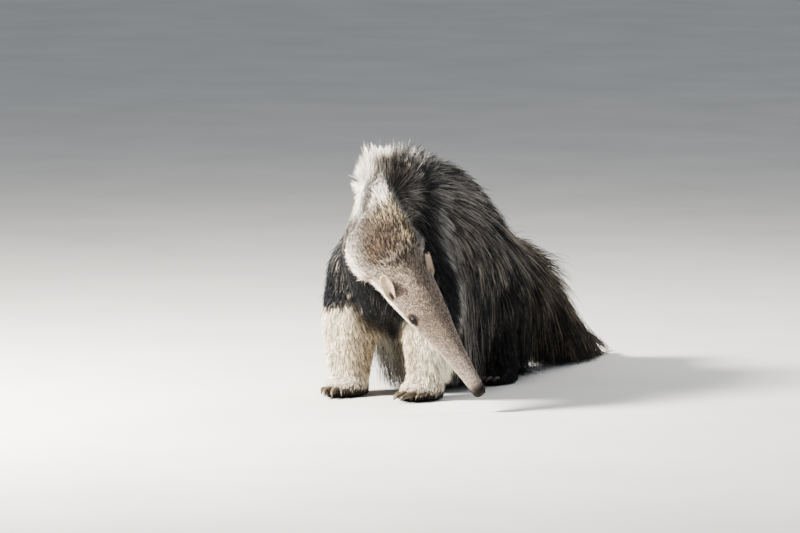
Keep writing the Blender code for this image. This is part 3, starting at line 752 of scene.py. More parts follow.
def guides(skin_tree):
    """Points all over the body with the coat's look there: place, lie, its six
    numbers, the part, the place along and round the part, and a one in the column of
    the part. Those inside the body are left out."""
    runs = [("torso", torso_sections(4), 36), ("neck", neck_sections(4), 28),
            ("head", head_sections(3), 20), ("tail", tail_sections(4), 24)]
    runs += [(name, run, 16) for name, _, run in limbs(3)]
    places, looks = [], []
    for name, run, sides in runs:
        reverse = 1 if name in LIMBS else -1
        one = [float(part == name) for part in PARTS]
        lines = [[section.point(2 * math.pi * k / sides) for section in run]
                 for k in range(sides)]
        for i, section in enumerate(run):
            share = i / (len(run) - 1)
            for k, line in enumerate(lines):
                if skin_tree.find_nearest(line[i] + SHIFT)[3] > BURIED:
                    continue
                angle = 2 * math.pi * k / sides
                back = ahead_at(line, i).normalized() * reverse
                out = section.outward(angle)
                out = (out - back * out.dot(back)).normalized()
                lie, *numbers = COATS[name][0](section.centre, math.sin(angle), back, out, share)
                places.append(line[i])
                looks.append((*lie, *numbers, PARTS.index(name), share,
                              math.cos(angle), math.sin(angle), *one))
    return places, np.array(looks)


# Columns of a guide's look, after its lie's x, y and z. From ON, one for each part.
LENGTH, STAND, FALL, WIDTH, WAVE, DENSITY, PART, SHARE, ROUND, HIGH, ON = range(3, 14)
LOOK_WIDTH = ON + len(PARTS)

NEAR_GUIDES = 7         # how many guides a point's look is blended from
BLEND = 6e-5            # and how softly, in square metres


def looks_at(points, places, looks):
    """The coat's look at each point, blended from the nearest guides, and the part
    that it is on."""
    tree = tree_of(places)
    made = np.empty((len(points), LOOK_WIDTH))
    for i, point in enumerate(points):
        near = tree.find_n(point, NEAR_GUIDES)
        index = [guide for _, guide, _ in near]
        weight = np.array([1 / (far ** 2 + BLEND) for _, _, far in near])
        part = looks[index[0], PART]
        own = weight * (looks[index, PART] == part)
        made[i] = (looks[index] * weight[:, None]).sum(0) / weight.sum()
        made[i, PART] = part
        made[i, SHARE:ON] = (looks[index, SHARE:ON] * own[:, None]).sum(0) / own.sum()
    made[:, :3] = unit(made[:, :3], 1e-9)
    return made


BLACK = (0.007, 0.008, 0.011)
SMOKE = (0.135, 0.118, 0.104)
BROWN = (0.155, 0.105, 0.068)
FAWN = (0.39, 0.315, 0.225)
GREY = (0.34, 0.315, 0.285)
CREAM = (0.96, 0.89, 0.75)
WHITE = (0.93, 0.89, 0.82)
LID_RIM = (0.012, 0.009, 0.008)
LID_SKIN = (0.024, 0.017, 0.014)
EAR_PALE = (0.62, 0.47, 0.34)
# Painted shade in an ear's opening and inside the ear
EAR_PAINTED_SHADE = (0.034, 0.019, 0.013)
EAR_BACK = (0.13, 0.10, 0.078)
EAR_HAIR = (0.84, 0.72, 0.56)

# The black band's middle line on the side of the body, as y and z, from the chest
# up and back, with its half width
BAND = [(-0.066, 0.22, 0.088), (-0.048, 0.34, 0.082), (-0.033, 0.44, 0.052),
        (0.000, 0.52, 0.032), (0.065, 0.585, 0.026), (0.160, 0.618, 0.020),
        (0.270, 0.610, 0.012), (0.360, 0.585, 0.002)]


def band_place(points):
    """How far each point lies behind the black band's middle line, in half widths,
    and how far along the band it is."""
    best = np.full(len(points), 1e9)
    signed = np.zeros(len(points))
    along = np.zeros(len(points))
    at = points[:, 1:3]
    for i in range(len(BAND) - 1):
        a, b = np.array(BAND[i]), np.array(BAND[i + 1])
        step = b[:2] - a[:2]
        t = np.clip(((at - a[:2]) @ step) / (step @ step), 0, 1)
        off = at - (a[:2] + t[:, None] * step)
        far = np.linalg.norm(off, axis=1)
        half = a[2] + t * (b[2] - a[2])
        side = np.sign(off[:, 0] * step[1] - off[:, 1] * step[0])
        closer = far < best
        best = np.where(closer, far, best)
        signed = np.where(closer, side * far / half, signed)
        along = np.where(closer, (i + t) / (len(BAND) - 1), along)
    return signed, along


class Fur:
    """The share of pale hairs, the pale colour and the dark colour at each point of
    the coat, painted region over region."""

    def __init__(self, points, looks, normals):
        self.points, self.normals = points, normals
        self.x, self.y, self.z = points.T
        self.share, self.round_x, self.high = looks[:, SHARE], looks[:, ROUND], looks[:, HIGH]
        self.on = {name: looks[:, ON + i] for i, name in enumerate(PARTS)}
        self.signed, self.along = band_place(points)
        # Across the view: below nought towards the light; splits painted light from painted shade
        self.slant = 1.73 * self.x + self.y
        side = np.sign(self.x)
        outer = smoothstep(normals[:, 0] * side, 0.2, 0.8) * (self.x > 0)
        self.inner = -normals[:, 0] * side
        self.low_leg = 1 - smoothstep(self.z - (0.252 - 0.080 * outer), 0.0, 0.018)
        self.amount = np.zeros(len(points))
        self.pale, self.dark = np.zeros((2, len(points), 3))

    def paint(self, weight, pale_share, pale, dark):
        """Moves every point towards a look by its weight there."""
        weight = np.clip(weight, 0, 1) * np.ones(len(self.amount))
        self.amount = self.amount * (1 - weight) + pale_share * weight
        weight = weight[:, None]
        self.pale = self.pale * (1 - weight) + np.array(pale) * weight
        self.dark = self.dark * (1 - weight) + np.array(dark) * weight


def paint_flanks(fur):
    """The flanks, darker towards the rump and the belly, and the hind parts."""
    torso = fur.on["torso"]
    fur.paint(1.0, 0.32, (0.36, 0.325, 0.285), (0.032, 0.032, 0.035))
    fur.paint(torso * smoothstep(fur.y, 0.25, 0.60), 0.24, (0.31, 0.25, 0.185),
              (0.022, 0.019, 0.017))
    low = smoothstep(0.33 - fur.z, 0.0, 0.08) * smoothstep(fur.y, -0.02, 0.08)
    fur.paint(torso * low, 0.06, (0.16, 0.14, 0.12), (0.009, 0.008, 0.008))
    fur.paint(fur.on["tail"], 0.22, (0.29, 0.235, 0.172), (0.020, 0.017, 0.015))
    fur.paint(fur.on["hindleg"] + fur.on["hindfoot"], 0.06, SMOKE, (0.018, 0.016, 0.015))


def paint_shoulders(fur):
    """The paler shoulder behind the black band, and the white line along it."""
    fade = 1 - smoothstep(fur.along, 0.50, 0.90)
    behind = smoothstep(fur.signed, 0.9, 1.2) * (1 - smoothstep(fur.signed, 2.0, 4.0)) * fade
    shoulder = (fur.on["torso"] + fur.on["foreleg"]) * smoothstep(fur.z, 0.18, 0.24)
    fur.paint(shoulder * behind, 0.48, (0.38, 0.37, 0.355), (0.085, 0.078, 0.072))
    line = np.exp(-((fur.signed + 1.35) / 0.30) ** 2) * (1 - smoothstep(fur.along, 0.60, 0.85))
    fur.paint(fur.on["torso"] * smoothstep(fur.z, 0.38, 0.42) * line, 0.75, WHITE, GREY)


def paint_forelegs(fur):
    """Cream below the black of the chest, with tan streaks and darker toes. The inner
    sides, which face each other, are tan and brown: partly the legs' own hair and partly
    painted shade between the legs.
    """
    low = fur.on["foreleg"] * fur.low_leg
    turn = np.arctan2(fur.normals[:, 1], fur.normals[:, 0])
    streak = 0.5 + 0.5 * np.sin(7.0 * turn + 9.0 * fur.z)
    fur.paint(low, 0.94, CREAM, FAWN)
    # Tan, then brown, towards the inner sides: the legs' own hair and painted shade between them
    fur.paint(low * 0.45 * smoothstep(fur.inner, -0.5, 0.4), 0.90, (0.82, 0.66, 0.45), FAWN)
    fur.paint(low * 0.25 * streak * smoothstep(fur.inner, -0.6, 0.3), 0.65, FAWN, BROWN)
    fur.paint(low * 0.65 * smoothstep(fur.inner, 0.62, 1.0), 0.46, FAWN, (0.10, 0.074, 0.055))
    fur.paint(fur.on["forefoot"], 0.9, CREAM, BROWN)
    fur.paint(fur.on["forefoot"] * smoothstep(0.045 - fur.z, 0.0, 0.035), 0.15, SMOKE, BLACK)


def paint_chest(fur):
    """The black chest and band, with a greyer throat."""
    chest = (1 - smoothstep(fur.signed, 0.80, 1.15)) * (1 - smoothstep(fur.z, 0.46, 0.54))
    band = 1 - smoothstep(np.abs(fur.signed), 0.80, 1.10)
    black = np.maximum(band * (1 - smoothstep(fur.along, 0.93, 1.0)), chest)
    fur.paint(fur.on["torso"] * black, 0.015, SMOKE, BLACK)
    fur.paint(fur.on["foreleg"] * black * (1 - fur.low_leg), 0.015, SMOKE, BLACK)
    throat = np.exp(-((fur.x - 0.03) / 0.05) ** 2 - ((fur.z - 0.25) / 0.05) ** 2)
    fur.paint(fur.on["torso"] * 0.35 * throat * smoothstep(-fur.y, 0.0, 0.08), 0.4,
              (0.20, 0.19, 0.185), BLACK)


def paint_crest(fur):
    """The dark top of the withers, and the pale crest, painted only on its right side,
    which faces the light; on its left side the crest keeps the dark grey as painted shade.
    """
    torso = fur.on["torso"]
    ridge = smoothstep(fur.high, 0.55, 0.90)
    fur.paint(torso * ridge * (1 - smoothstep(fur.y, 0.12, 0.30)), 0.45, (0.40, 0.375, 0.345),
              (0.036, 0.034, 0.034))
    # Painted light and shade: the crest is white only on the side facing the light
    crest = smoothstep(fur.z, 0.49, 0.55) * (1 - smoothstep(fur.y, -0.010, 0.035))
    fur.paint(torso * crest * (1 - smoothstep(fur.slant, -0.020, 0.018)), 0.90, WHITE, GREY)


def paint_neck(fur):
    """Speckled, with a pale crest, a black and cream nape, a brown spot on the lit
    side, and a white fringe low on each side. The right side, which faces the light, is
    painted paler as painted light, and the left side darker as painted shade; the crest
    at the neck's root is pale only on the lit side."""
    neck, share, high, round_x = fur.on["neck"], fur.share, fur.high, fur.round_x
    fur.paint(neck, 0.34, (0.18, 0.130, 0.090), (0.028, 0.020, 0.015))
    # Painted light: the right side, which faces the light, is paler
    fur.paint(neck * smoothstep(-round_x, 0.80, 1.0), 0.5, (0.46, 0.40, 0.34),
              (0.08, 0.068, 0.058))
    # Painted shade: the left side, away from the light, is darker
    painted_shade_left = smoothstep(round_x, 0.0, 0.45)
    fur.paint(neck * painted_shade_left, 0.42, (0.27, 0.255, 0.24), (0.045, 0.041, 0.038))
    nape = smoothstep(high, 0.66, 0.90)
    nape *= 1 - smoothstep(-round_x, -0.25, 0.15) * smoothstep(share, 0.52, 0.68)
    fur.paint(neck * nape, 0.40, (0.50, 0.405, 0.26), (0.022, 0.018, 0.016))
    base = smoothstep(0.54 - share, 0.0, 0.18)
    # Painted light and shade: the pale crest at the root only on the side facing the light
    lit = 1 - smoothstep(fur.slant, -0.030, 0.010)
    fur.paint(neck * base * smoothstep(high, 0.1, 0.6) * lit, 0.74, (0.86, 0.82, 0.74),
              (0.075, 0.068, 0.062))
    # Painted shade over the left side of the neck's root
    fur.paint(neck * base * painted_shade_left, 0.35, (0.36, 0.33, 0.29), (0.035, 0.032, 0.031))
    spot = np.exp(-((high - 0.70) / 0.30) ** 2) * np.exp(-((share - 0.76) / 0.13) ** 2)
    fur.paint(neck * 0.8 * spot * smoothstep(-round_x, -0.10, 0.30), 0.4, (0.18, 0.125, 0.085),
              (0.030, 0.021, 0.015))
    fringe = (1 - smoothstep(high, -0.22, 0.06)) * smoothstep(share, 0.40, 0.60)
    fur.paint(neck * fringe, 0.84, (0.80, 0.73, 0.65), (0.20, 0.175, 0.15))
    fur.paint(neck * smoothstep(-high, 0.46, 0.58), 0.015, SMOKE, BLACK)


def paint_head(fur):
    """Finely speckled grey-brown, paler along the jaw, dark round the eyes and at the
    snout's tip, and painted shade where the ears open."""
    head, share, high = fur.on["head"], fur.share, fur.high
    fur.paint(head, 0.50, (0.49, 0.40, 0.33), (0.12, 0.093, 0.076))
    fur.paint(head * smoothstep(share, 0.45, 0.75), 0.60, (0.57, 0.485, 0.42),
              (0.15, 0.12, 0.102))
    jaw = 1 - smoothstep(high, -0.30, 0.04)
    fur.paint(head * jaw * (1 - smoothstep(share, 0.26, 0.42)), 0.93, (0.79, 0.72, 0.64), FAWN)
    fur.paint(head * 0.5 * jaw * smoothstep(share, 0.36, 0.50), 0.6, (0.50, 0.43, 0.36), FAWN)
    below = smoothstep(-high, 0.62, 0.85) * (1 - smoothstep(share, 0.2, 0.7))
    fur.paint(head * below, 0.4, (0.24, 0.215, 0.19), (0.045, 0.04, 0.036))
    ahead = (fur.points - np.array(HEAD_EARS)) @ np.array(HEAD_FORWARD)
    fur.paint(head * smoothstep(ahead, HEAD_LENGTH - 0.034, HEAD_LENGTH - 0.010), 0.06, SMOKE,
              (0.030, 0.024, 0.021))
    for side in (1, -1):
        near_eye = np.linalg.norm(fur.points - np.array(eye_centre(side)), axis=1)
        fur.paint(head * (1 - smoothstep(near_eye, 0.012, 0.022)), 0.15, BROWN,
                  (0.030, 0.021, 0.017))
        # Painted shade over the hair where each ear opens
        hole = np.array(ear_point(side, 0.26, 0.0, True))
        near_hole = np.linalg.norm(fur.points - hole, axis=1)
        fur.paint(head * (1 - smoothstep(near_hole, 0.010, 0.018)), 0.0, EAR_PAINTED_SHADE, EAR_PAINTED_SHADE)


def colours_at(points, looks, normals):
    """The share of pale hairs, the pale colour and the dark colour at each point."""
    fur = Fur(points, looks, normals)
    for paint_region in (paint_flanks, paint_shoulders, paint_forelegs, paint_chest,
                         paint_crest, paint_neck, paint_head):
        paint_region(fur)
    return fur.amount, fur.pale, fur.dark


# The skin


def unwrapped(obj):
    """Gives an object one map, by its own angles."""
    for old in list(obj.data.uv_layers):
        obj.data.uv_layers.remove(old)
    obj.data.uv_layers.new(name="OFBake")
    bpy.context.view_layer.objects.active = obj
    obj.select_set(True)
    bpy.ops.object.mode_set(mode="EDIT")
    bpy.ops.mesh.select_all(action="SELECT")
    bpy.ops.uv.smart_project(angle_limit=math.radians(66), island_margin=0.002)
    bpy.ops.object.mode_set(mode="OBJECT")
    obj.select_set(False)


def build_skin():
    """One skin over the whole body, without the coat's depth."""
    parts = [loft_data(torso_sections(6), 72, 0, (True, True)),
             loft_data(neck_sections(6), 56, 0),
             loft_data(head_sections(8), 56, -FACE_FUR, (False, True)),
             loft_data(tail_sections(6), 40, 0, (True, False))]
    for name, _, run in limbs(5):
        fur = FOOT_FUR if name.endswith("foot") else LEG_FUR
        if name.endswith("foot"):
            top = run[0].centre + Vector((0, 0, FOOT_OVERLAP))
            run = [Section(top, run[0].forward, run[0].up, *run[0].sizes[:3])] + run
        parts.append(loft_data(run, 40, -fur))
    skin = mesh_piece("skin", *joined(parts), skin_material())
    remesh = skin.modifiers.new("remesh", "REMESH")
    remesh.mode = "VOXEL"
    remesh.voxel_size = SKIN_VOXEL
    remesh.use_smooth_shade = True
    soften = skin.modifiers.new("soften", "SMOOTH")
    soften.factor = 0.5
    soften.iterations = 8
    unwrapped(applied(skin))
    return skin


def values_of(items, name, width, kind=np.float32):
    """One of a mesh's own lists as an array, with a row for each item."""
    values = np.empty(len(items) * width, kind)
    items.foreach_get(name, values)
    return values.reshape(-1, width)


def mesh_arrays(mesh):
    """Vertices, vertex normals, triangles, and each triangle's corners' UVs."""
    mesh.calc_loop_triangles()
    points = values_of(mesh.vertices, "co", 3).astype(float)
    normals = values_of(mesh.vertices, "normal", 3).astype(float)
    triangles = values_of(mesh.loop_triangles, "vertices", 3, np.int32)
    loops = values_of(mesh.loop_triangles, "loops", 3, np.int32)
    uv = values_of(mesh.uv_layers["OFBake"].uv, "vector", 2)[loops].astype(float)
    return points, normals, triangles, uv


def set_colours(mesh, colours):
    """Writes the coat's colour on each vertex."""
    layer = mesh.color_attributes.new(name="coat", type="FLOAT_COLOR", domain="POINT")
    data = np.ones((len(mesh.vertices), 4), np.float32)
    data[:, :3] = colours
    layer.data.foreach_set("color", data.ravel())


# The tufts


MOST_TRIANGLES = 190_000
CLUMP_TINT = 0.9        # how far a clump is paler or darker as a whole
STRAYS = 0.04           # share of tufts that leave their clump and stand out
ROOT_DEPTH = 0.0015     # how far a tuft starts inside the skin
ROOT_CLEAR = 0.0004     # how far off the skin it is kept from there on
TIP_CLEAR = 0.0022      # and how much further towards its tip
ROOT_SHADE = 0.55       # how dark the skin is under the coat, to the coat's colour
TUFT_PROFILE = (0.80, 1.0, 0.80, 0.55)  # a tuft's half width at each ring, to its widest
TUFT_BELOW, TUFT_ABOVE = 0.35, 0.55     # its depth, to its half width
PATCH = 0.003           # a tuft's patch on the map


def scatter(arrays, looks):
    """Random roots over the skin, as many as the coat's density asks for. Each has its
    place, normal, look and place on the map."""
    points, normals, triangles, uv = arrays
    corners = points[triangles]
    area = np.linalg.norm(np.cross(corners[:, 1] - corners[:, 0],
                                   corners[:, 2] - corners[:, 0]), axis=1) / 2
    density = looks[:, DENSITY][triangles].mean(1) * 1000
    middle = corners.mean(1)
    tip = middle - np.array(head_point(HEAD_LENGTH - PAD_BACK * 0.8) + SHIFT)
    bare = (middle[:, 2] < SOLE_Z) | (tip @ np.array(HEAD_FORWARD) > 0)
    for side in (1, -1):
        base, along, *_ = ear_frame(side)
        spots = [(eye_centre(side), EYE_BARE)]
        spots += [(base + along * reach, EAR_BARE) for reach in EAR_LINE]
        for spot, clear in spots:
            bare |= np.linalg.norm(middle - np.array(spot + SHIFT), axis=1) < clear
    wanted = area * density * np.where(bare, 0, 1)
    count = np.floor(wanted + rng.random(len(wanted))).astype(int)
    chosen = np.repeat(np.arange(len(count)), count)
    weights = rng.random((len(chosen), 2))
    over = weights.sum(1) > 1
    weights[over] = 1 - weights[over]
    weights = np.column_stack([1 - weights.sum(1), weights])

    def at(values):
        return (values[triangles[chosen]] * weights[:, :, None]).sum(1)

    look = at(looks)
    look[:, PART] = looks[triangles[chosen, 0], PART]
    place = (uv[chosen] * weights[:, :, None]).sum(1)
    return at(points), unit(at(normals)), look, place


def clumped(root, clump):
    """For each root, the root of the tuft that its tuft leans to."""
    centres = rng.choice(len(root), max(len(root) // clump, 1), replace=False)
    tree = tree_of(root[centres])
    return np.array([centres[tree.find(p)[1]] for p in root])


def tuft_paths(root, normal, look, rings, leader, pull):
    """Points along each tuft, from its root in the skin to its tip."""
    count = len(root)
    stray = rng.random(count) < STRAYS
    lie = unit(look[:, :3] + rng.normal(0, 0.10, (count, 3)))
    lie = unit(lie + normal * np.maximum(0.03 - (lie * normal).sum(1), 0)[:, None])
    length = look[:, LENGTH] * rng.uniform(0.68, 1.15, count) * np.where(stray, 1.12, 1)
    stand = look[:, STAND] * rng.uniform(0.6, 1.35, count) + np.where(stray, 0.25, 0)
    stand = np.clip(stand, 0, 0.95)
    first = lie * np.sqrt(1 - stand ** 2)[:, None] + normal * stand[:, None]
    last = lie + normal * (0.25 * stand)[:, None]
    last[:, 2] -= look[:, FALL] * rng.uniform(0.5, 1.5, count)
    last = unit(last)
    side = unit(np.cross(lie, normal))
    phase = rng.uniform(0, 2 * math.pi, count)
    turns = rng.uniform(0.6, 1.2, count)
    sway = rng.uniform(0.3, 1.2, count) * look[:, WAVE]
    steps = np.linspace(0, 1, rings + 1)
    path = np.empty((count, rings + 1, 3))
    for i, t in enumerate(steps):
        bent = first * (t - t * t / 2) + last * (t * t / 2)
        swing = sway * t * (np.sin(phase + 2 * math.pi * turns * t) - np.sin(phase) * (1 - t))
        path[:, i] = root + bent * length[:, None] + side * swing[:, None]
    drawn = pull * rng.uniform(0.5, 1.25, count) * np.where(stray, 0.2, 1)
    for i, t in enumerate(steps):
        share = np.clip(drawn * t ** 1.1, 0, 0.92)[:, None]
        path[:, i] += (path[leader, i] - path[:, i]) * share
    path[:, 0] -= normal * ROOT_DEPTH
    return path, side


def kept_out(path, tree):
    """Moves what lies inside the body or under the floor back out."""
    rings = path.shape[1]
    for i in range(1, rings):
        clear = ROOT_CLEAR + TIP_CLEAR * i / rings
        for k in range(len(path)):
            at, normal, *_ = tree.find_nearest(path[k, i])
            x, y, z = path[k, i]
            off = (x - at.x) * normal.x + (y - at.y) * normal.y + (z - at.z) * normal.z
            if off < clear:
                path[k, i] += np.array(normal) * (clear - off)
    under = path[:, :, 2] < FLOOR_CLEAR
    path[:, :, 2][under] = FLOOR_CLEAR + rng.uniform(0, 0.006, under.sum())


def triangle_mesh(name, points, faces):
    """A mesh straight from arrays, which is quicker than from lists."""
    mesh = bpy.data.meshes.new(name)
    mesh.vertices.add(len(points))
    mesh.vertices.foreach_set("co", points.astype(np.float32).ravel())
    mesh.loops.add(faces.size)
    mesh.polygons.add(len(faces))
    mesh.polygons.foreach_set("loop_start", np.arange(0, faces.size, 3, dtype=np.int32))
    mesh.polygons.foreach_set("loop_total", np.full(len(faces), 3, np.int32))
    mesh.loops.foreach_set("vertex_index", faces.astype(np.int32).ravel())
    mesh.update(calc_edges=True)
    return mesh


def tuft_mesh(name, path, side, width, colours, tips, place, material):
    """Three-sided tapered tufts along their paths as one piece. Its map gives each
    tuft a small patch at its root's place on the map of what it grows on."""
    count, stations, _ = path.shape
    rings = stations - 1
    per = rings * 3 + 1
    points = np.empty((count, per, 3))
    shade = np.empty((count, per, 3))
    local = np.empty((per, 2))
    for i in range(rings):
        over = unit(np.cross(side, path[:, i + 1] - path[:, max(i - 1, 0)]), 1e-12)
        half = (width * TUFT_PROFILE[i])[:, None]
        points[:, 3 * i] = path[:, i] - side * half - over * half * TUFT_BELOW
        points[:, 3 * i + 1] = path[:, i] + side * half - over * half * TUFT_BELOW
        points[:, 3 * i + 2] = path[:, i] + over * half * TUFT_ABOVE
        t = i / rings
        shade[:, 3 * i:3 * i + 3] = (colours * (1 - t) + tips * t)[:, None]
        for k, across in enumerate((-0.5, 0.5, 0.0)):
            local[3 * i + k] = (across, t - 0.5 + (0.12 if k == 2 else 0))
    points[:, -1] = path[:, -1]
    shade[:, -1] = tips
    local[-1] = (0, 0.5)
    one = [corners for a, b, c, d in grid_faces(rings, 3) for corners in ((a, b, c), (a, c, d))]
    one = np.array(one + fan(3 * (rings - 1), 3, per - 1))
    faces = (one[None] + (np.arange(count) * per)[:, None, None]).reshape(-1, 3)
    mesh = triangle_mesh(name, points.reshape(-1, 3), faces)
    spot = (place - place.min(0)) / np.ptp(place, axis=0) * (1 - 2 * PATCH) + PATCH
    uv = (spot[:, None] + local[None] * PATCH).reshape(-1, 2)[faces.ravel()]
    layer = mesh.uv_layers.new(name="OFBake")
    layer.uv.foreach_set("vector", uv.astype(np.float32).ravel())
    mesh.shade_smooth()
    set_colours(mesh, shade.reshape(-1, 3))
    mesh.materials.append(material)
    return linked(name, mesh)


def tuft_colours(design, look, normal, leader):
    """Each tuft's colour at its root and at its tip. Whole clumps are paler or darker."""
    amount, pale, dark = colours_at(design, look, normal)
    of_clump = rng.uniform(-1, 1, len(leader))[leader]
    chance = amount + CLUMP_TINT * of_clump * np.minimum(amount, 1 - amount)
    is_pale = (rng.random(len(leader)) < chance)[:, None]
    bright = (rng.uniform(0.75, 1.22, len(leader)) * (1 + 0.16 * of_clump))[:, None]
    base = np.where(is_pale, pale * 0.68 + dark * 0.18, dark) * bright
    tip = np.where(is_pale, pale * 1.10, dark * 1.4 + 0.006) * bright
    return base, tip


def build_coat(arrays, looks, tree):
    """Every part's tufts, in pieces of a size that the export takes."""
    scattered = scatter(arrays, looks)
    short = hair_material("short_hair", 0.62, 900.0)
    long = hair_material("long_hair", 0.46, 160.0)
    for part, (_, rings, clump, pull, slot) in COATS.items():
        pick = scattered[2][:, PART] == PARTS.index(part)
        root, normal, look, place = (values[pick] for values in scattered)
        leader = clumped(root, clump)
        path, side = tuft_paths(root, normal, look, rings, leader, pull)
        kept_out(path, tree)
        design = root - np.array(SHIFT)
        base, tip = tuft_colours(design, look, normal, leader)
        width = look[:, WIDTH] * rng.uniform(0.7, 1.3, len(root))
        pieces = math.ceil(len(root) / (MOST_TRIANGLES // (6 * (rings - 1) + 3)))
        order = np.argsort(design[:, 1], kind="stable")
        for number, rows in enumerate(np.array_split(order, pieces), 1):
            piece = tuft_mesh(f"coat_{part}_{number}", path[rows], side[rows], width[rows],
                              base[rows], tip[rows], place[rows], short if rings == 2 else long)
            placed(piece, slot, *nodes_for(part))


# Head details


def build_eye(side, material):
    """A wet dark eye: a fine ball with a slightly raised front."""
    out = head_at(EYE_AHEAD).outward(eye_angle(side))
    centre = eye_centre(side) - out * EYE_DEEPER
    over = out.cross(HEAD_FORWARD).normalized()
    points = []
    rings, sides = 20, 32
    for i in range(1, rings):
        tilt = math.pi * i / rings
        raised = 1 + EYE_FRONT * max(0.0, math.cos(tilt)) ** 6
        for k in range(sides):
            turn = 2 * math.pi * k / sides
            points.append(centre + (HEAD_FORWARD * math.sin(tilt) * math.cos(turn)
                                    + over * math.sin(tilt) * math.sin(turn)
                                    + out * math.cos(tilt) * raised) * EYE_RADIUS)
    faces = grid_faces(rings - 1, sides)
    for reach, row in ((1 + EYE_FRONT, 0), (-1, (rings - 2) * sides)):
        points.append(centre + out * EYE_RADIUS * reach)
        faces += fan(row, sides, len(points) - 1)
    return mesh_piece(f"eyeball_{side_name(side)}", points, faces, material)


def build_lids(side, material):
    """The skin round an eye, from its almond opening out to the head, with a crease
    that is deeper over the upper lid."""
    out = head_at(EYE_AHEAD).outward(eye_angle(side))
    up = (HEAD_UP - out * HEAD_UP.dot(out)).normalized()
    centre = eye_centre(side) - out * EYE_DEEPER
    around, steps = 56, 9
    points = []
    for i in range(steps + 1):
        share = i / steps
        drop = eased(share ** 0.8, 0.0, 1.0)
        for k in range(around):
            turn = 2 * math.pi * k / around
            c, s = math.cos(turn), math.sin(turn)
            half = LID_OPEN[1] if s > 0 else LID_OPEN[2]
            along, over = LID_OPEN[0] * c, half * s * abs(s) ** 0.3
            on_ball = math.sqrt(max((EYE_RADIUS * EYE_GAP) ** 2 - along ** 2 - over ** 2, 1e-6))
            far_along, far_over = LID_REACH[0] * c, LID_REACH[1] * s
            on_head = EYE_SINK + EYE_DEEPER - FACE_FUR - LID_TUCK - far_over ** 2 * 9
            crease = LID_CREASE * math.sin(3 * math.pi * share) * (1.2 if s > 0 else 0.6)
            lift = on_ball * (1 - drop) + on_head * drop + crease
            points.append(centre + HEAD_FORWARD * (along * (1 - share) + far_along * share)
                          + up * (over * (1 - share) + far_over * share) + out * lift)
    faces = grid_faces(steps + 1, around)
    lids = mesh_piece(f"lids_{side_name(side)}", points, faces, material)
    thick = lids.modifiers.new("thick", "SOLIDIFY")
    thick.thickness = 0.0008
    thick.offset = 0
    shade = smoothstep(np.repeat(np.arange(steps + 1) / steps, around), 0.08, 0.55)[:, None]
    set_colours(lids.data, np.array(LID_RIM) * (1 - shade) + np.array(LID_SKIN) * shade)
    return applied(lids)


def pad_ahead(share):
    """How far ahead the bare end of the snout reaches, by the share of its radius."""
    return HEAD_LENGTH - PAD_BACK + (PAD_BACK + PAD_NOSE) * math.sqrt(1 - share ** PAD_BLUNT)


def pad_front(left, over):
    """The same, at a place across the snout."""
    return pad_ahead(min(1.0, math.hypot(left, over - PAD_OVER) / PAD_RADIUS))


def mouth_path(over, lift):
    """A line round the snout's end at one height, from well back on one side to the
    other."""
    half = math.sqrt(PAD_RADIUS ** 2 - (over - PAD_OVER) ** 2)
    path = []
    for k in range(4):
        back = (1 - k / 4) * MOUTH_LENGTH
        ahead = HEAD_LENGTH - PAD_BACK - back
        fur = FACE_FUR * 0.8 * min(1.0, back / 0.010)
        path.append(head_point(ahead, -half - lift - fur, over - 0.06 * back))
    for k in range(17):
        left = half * math.sin(math.radians(-90 + 180 * k / 16))
        share = abs(left) / half
        path.append(head_point(pad_front(left, over) + lift * (1 - share),
                               left + math.copysign(lift * share, left), over))
    path += [p + HEAD_LEFT * 2 * (HEAD_EARS - p).dot(HEAD_LEFT) for p in path[3::-1]]
    return path


def build_mouth(lip, painted_hole_shade):
    """The short mouth at the tip of the snout, a dark line of painted shade between two lips."""
    path = mouth_path(MOUTH_OVER, 0.0007)
    last = len(path) - 1
    radii = [0.0004 + 0.0011 * math.sin(math.pi * k / last) ** 0.5 for k in range(last + 1)]
    line = mesh_piece("mouth_line", *tube_data(path, radii, HEAD_UP, 8), painted_hole_shade)
    wide = [radius * 1.5 for radius in radii]
    lips = joined([tube_data(mouth_path(MOUTH_OVER + LIP_OFF * sign, -0.0006), wide, HEAD_UP, 8)
                   for sign in (0.55, -0.55)])
    return [line, mesh_piece("lips", *lips, lip)]


def build_nose(material, painted_hole_shade):
    """A bare dark pad round the end of the snout, with a comma of painted shade for a
    nostril on each side."""
    pad = []
    for i in range(13):
        share = math.cos(i / 12 * math.pi / 2) ** 0.6
        size = max(PAD_RADIUS * share, 0.0006)
        centre = head_point(pad_ahead(share), 0, PAD_OVER)
        pad.append(Section(centre, HEAD_FORWARD, HEAD_UP, size, size))
    nose = mesh_piece("nose_pad", *loft_data(pad, 32), material)
    parts = []
    for side in (1, -1):
        path = []
        for k in range(11):
            t = k / 10
            left = 0.0050 + 0.0075 * t
            over = 0.0045 + 0.0030 * math.sin(t * math.pi) - 0.002 * t
            path.append(head_point(pad_front(left, over) + 0.0002, side * left, over))
        radii = [0.0005 + 0.0015 * math.sin(math.pi * (k + 1) / 12) for k in range(11)]
        parts.append(tube_data(path, radii, HEAD_UP, 8))
    return [nose, mesh_piece("nostrils", *joined(parts), painted_hole_shade)]


def ear_frame(side):
    """An ear's root, and its ways along, out and across."""
    base = head_point(EAR_BASE[0], side * EAR_BASE[1], EAR_BASE[2])
    along = head_way(EAR_WAY[0], side * EAR_WAY[1], EAR_WAY[2])
    out = head_way(EAR_OUT[0], side * EAR_OUT[1], EAR_OUT[2])
    out = (out - along * out.dot(along)).normalized()
    return base, along, out, along.cross(out).normalized()


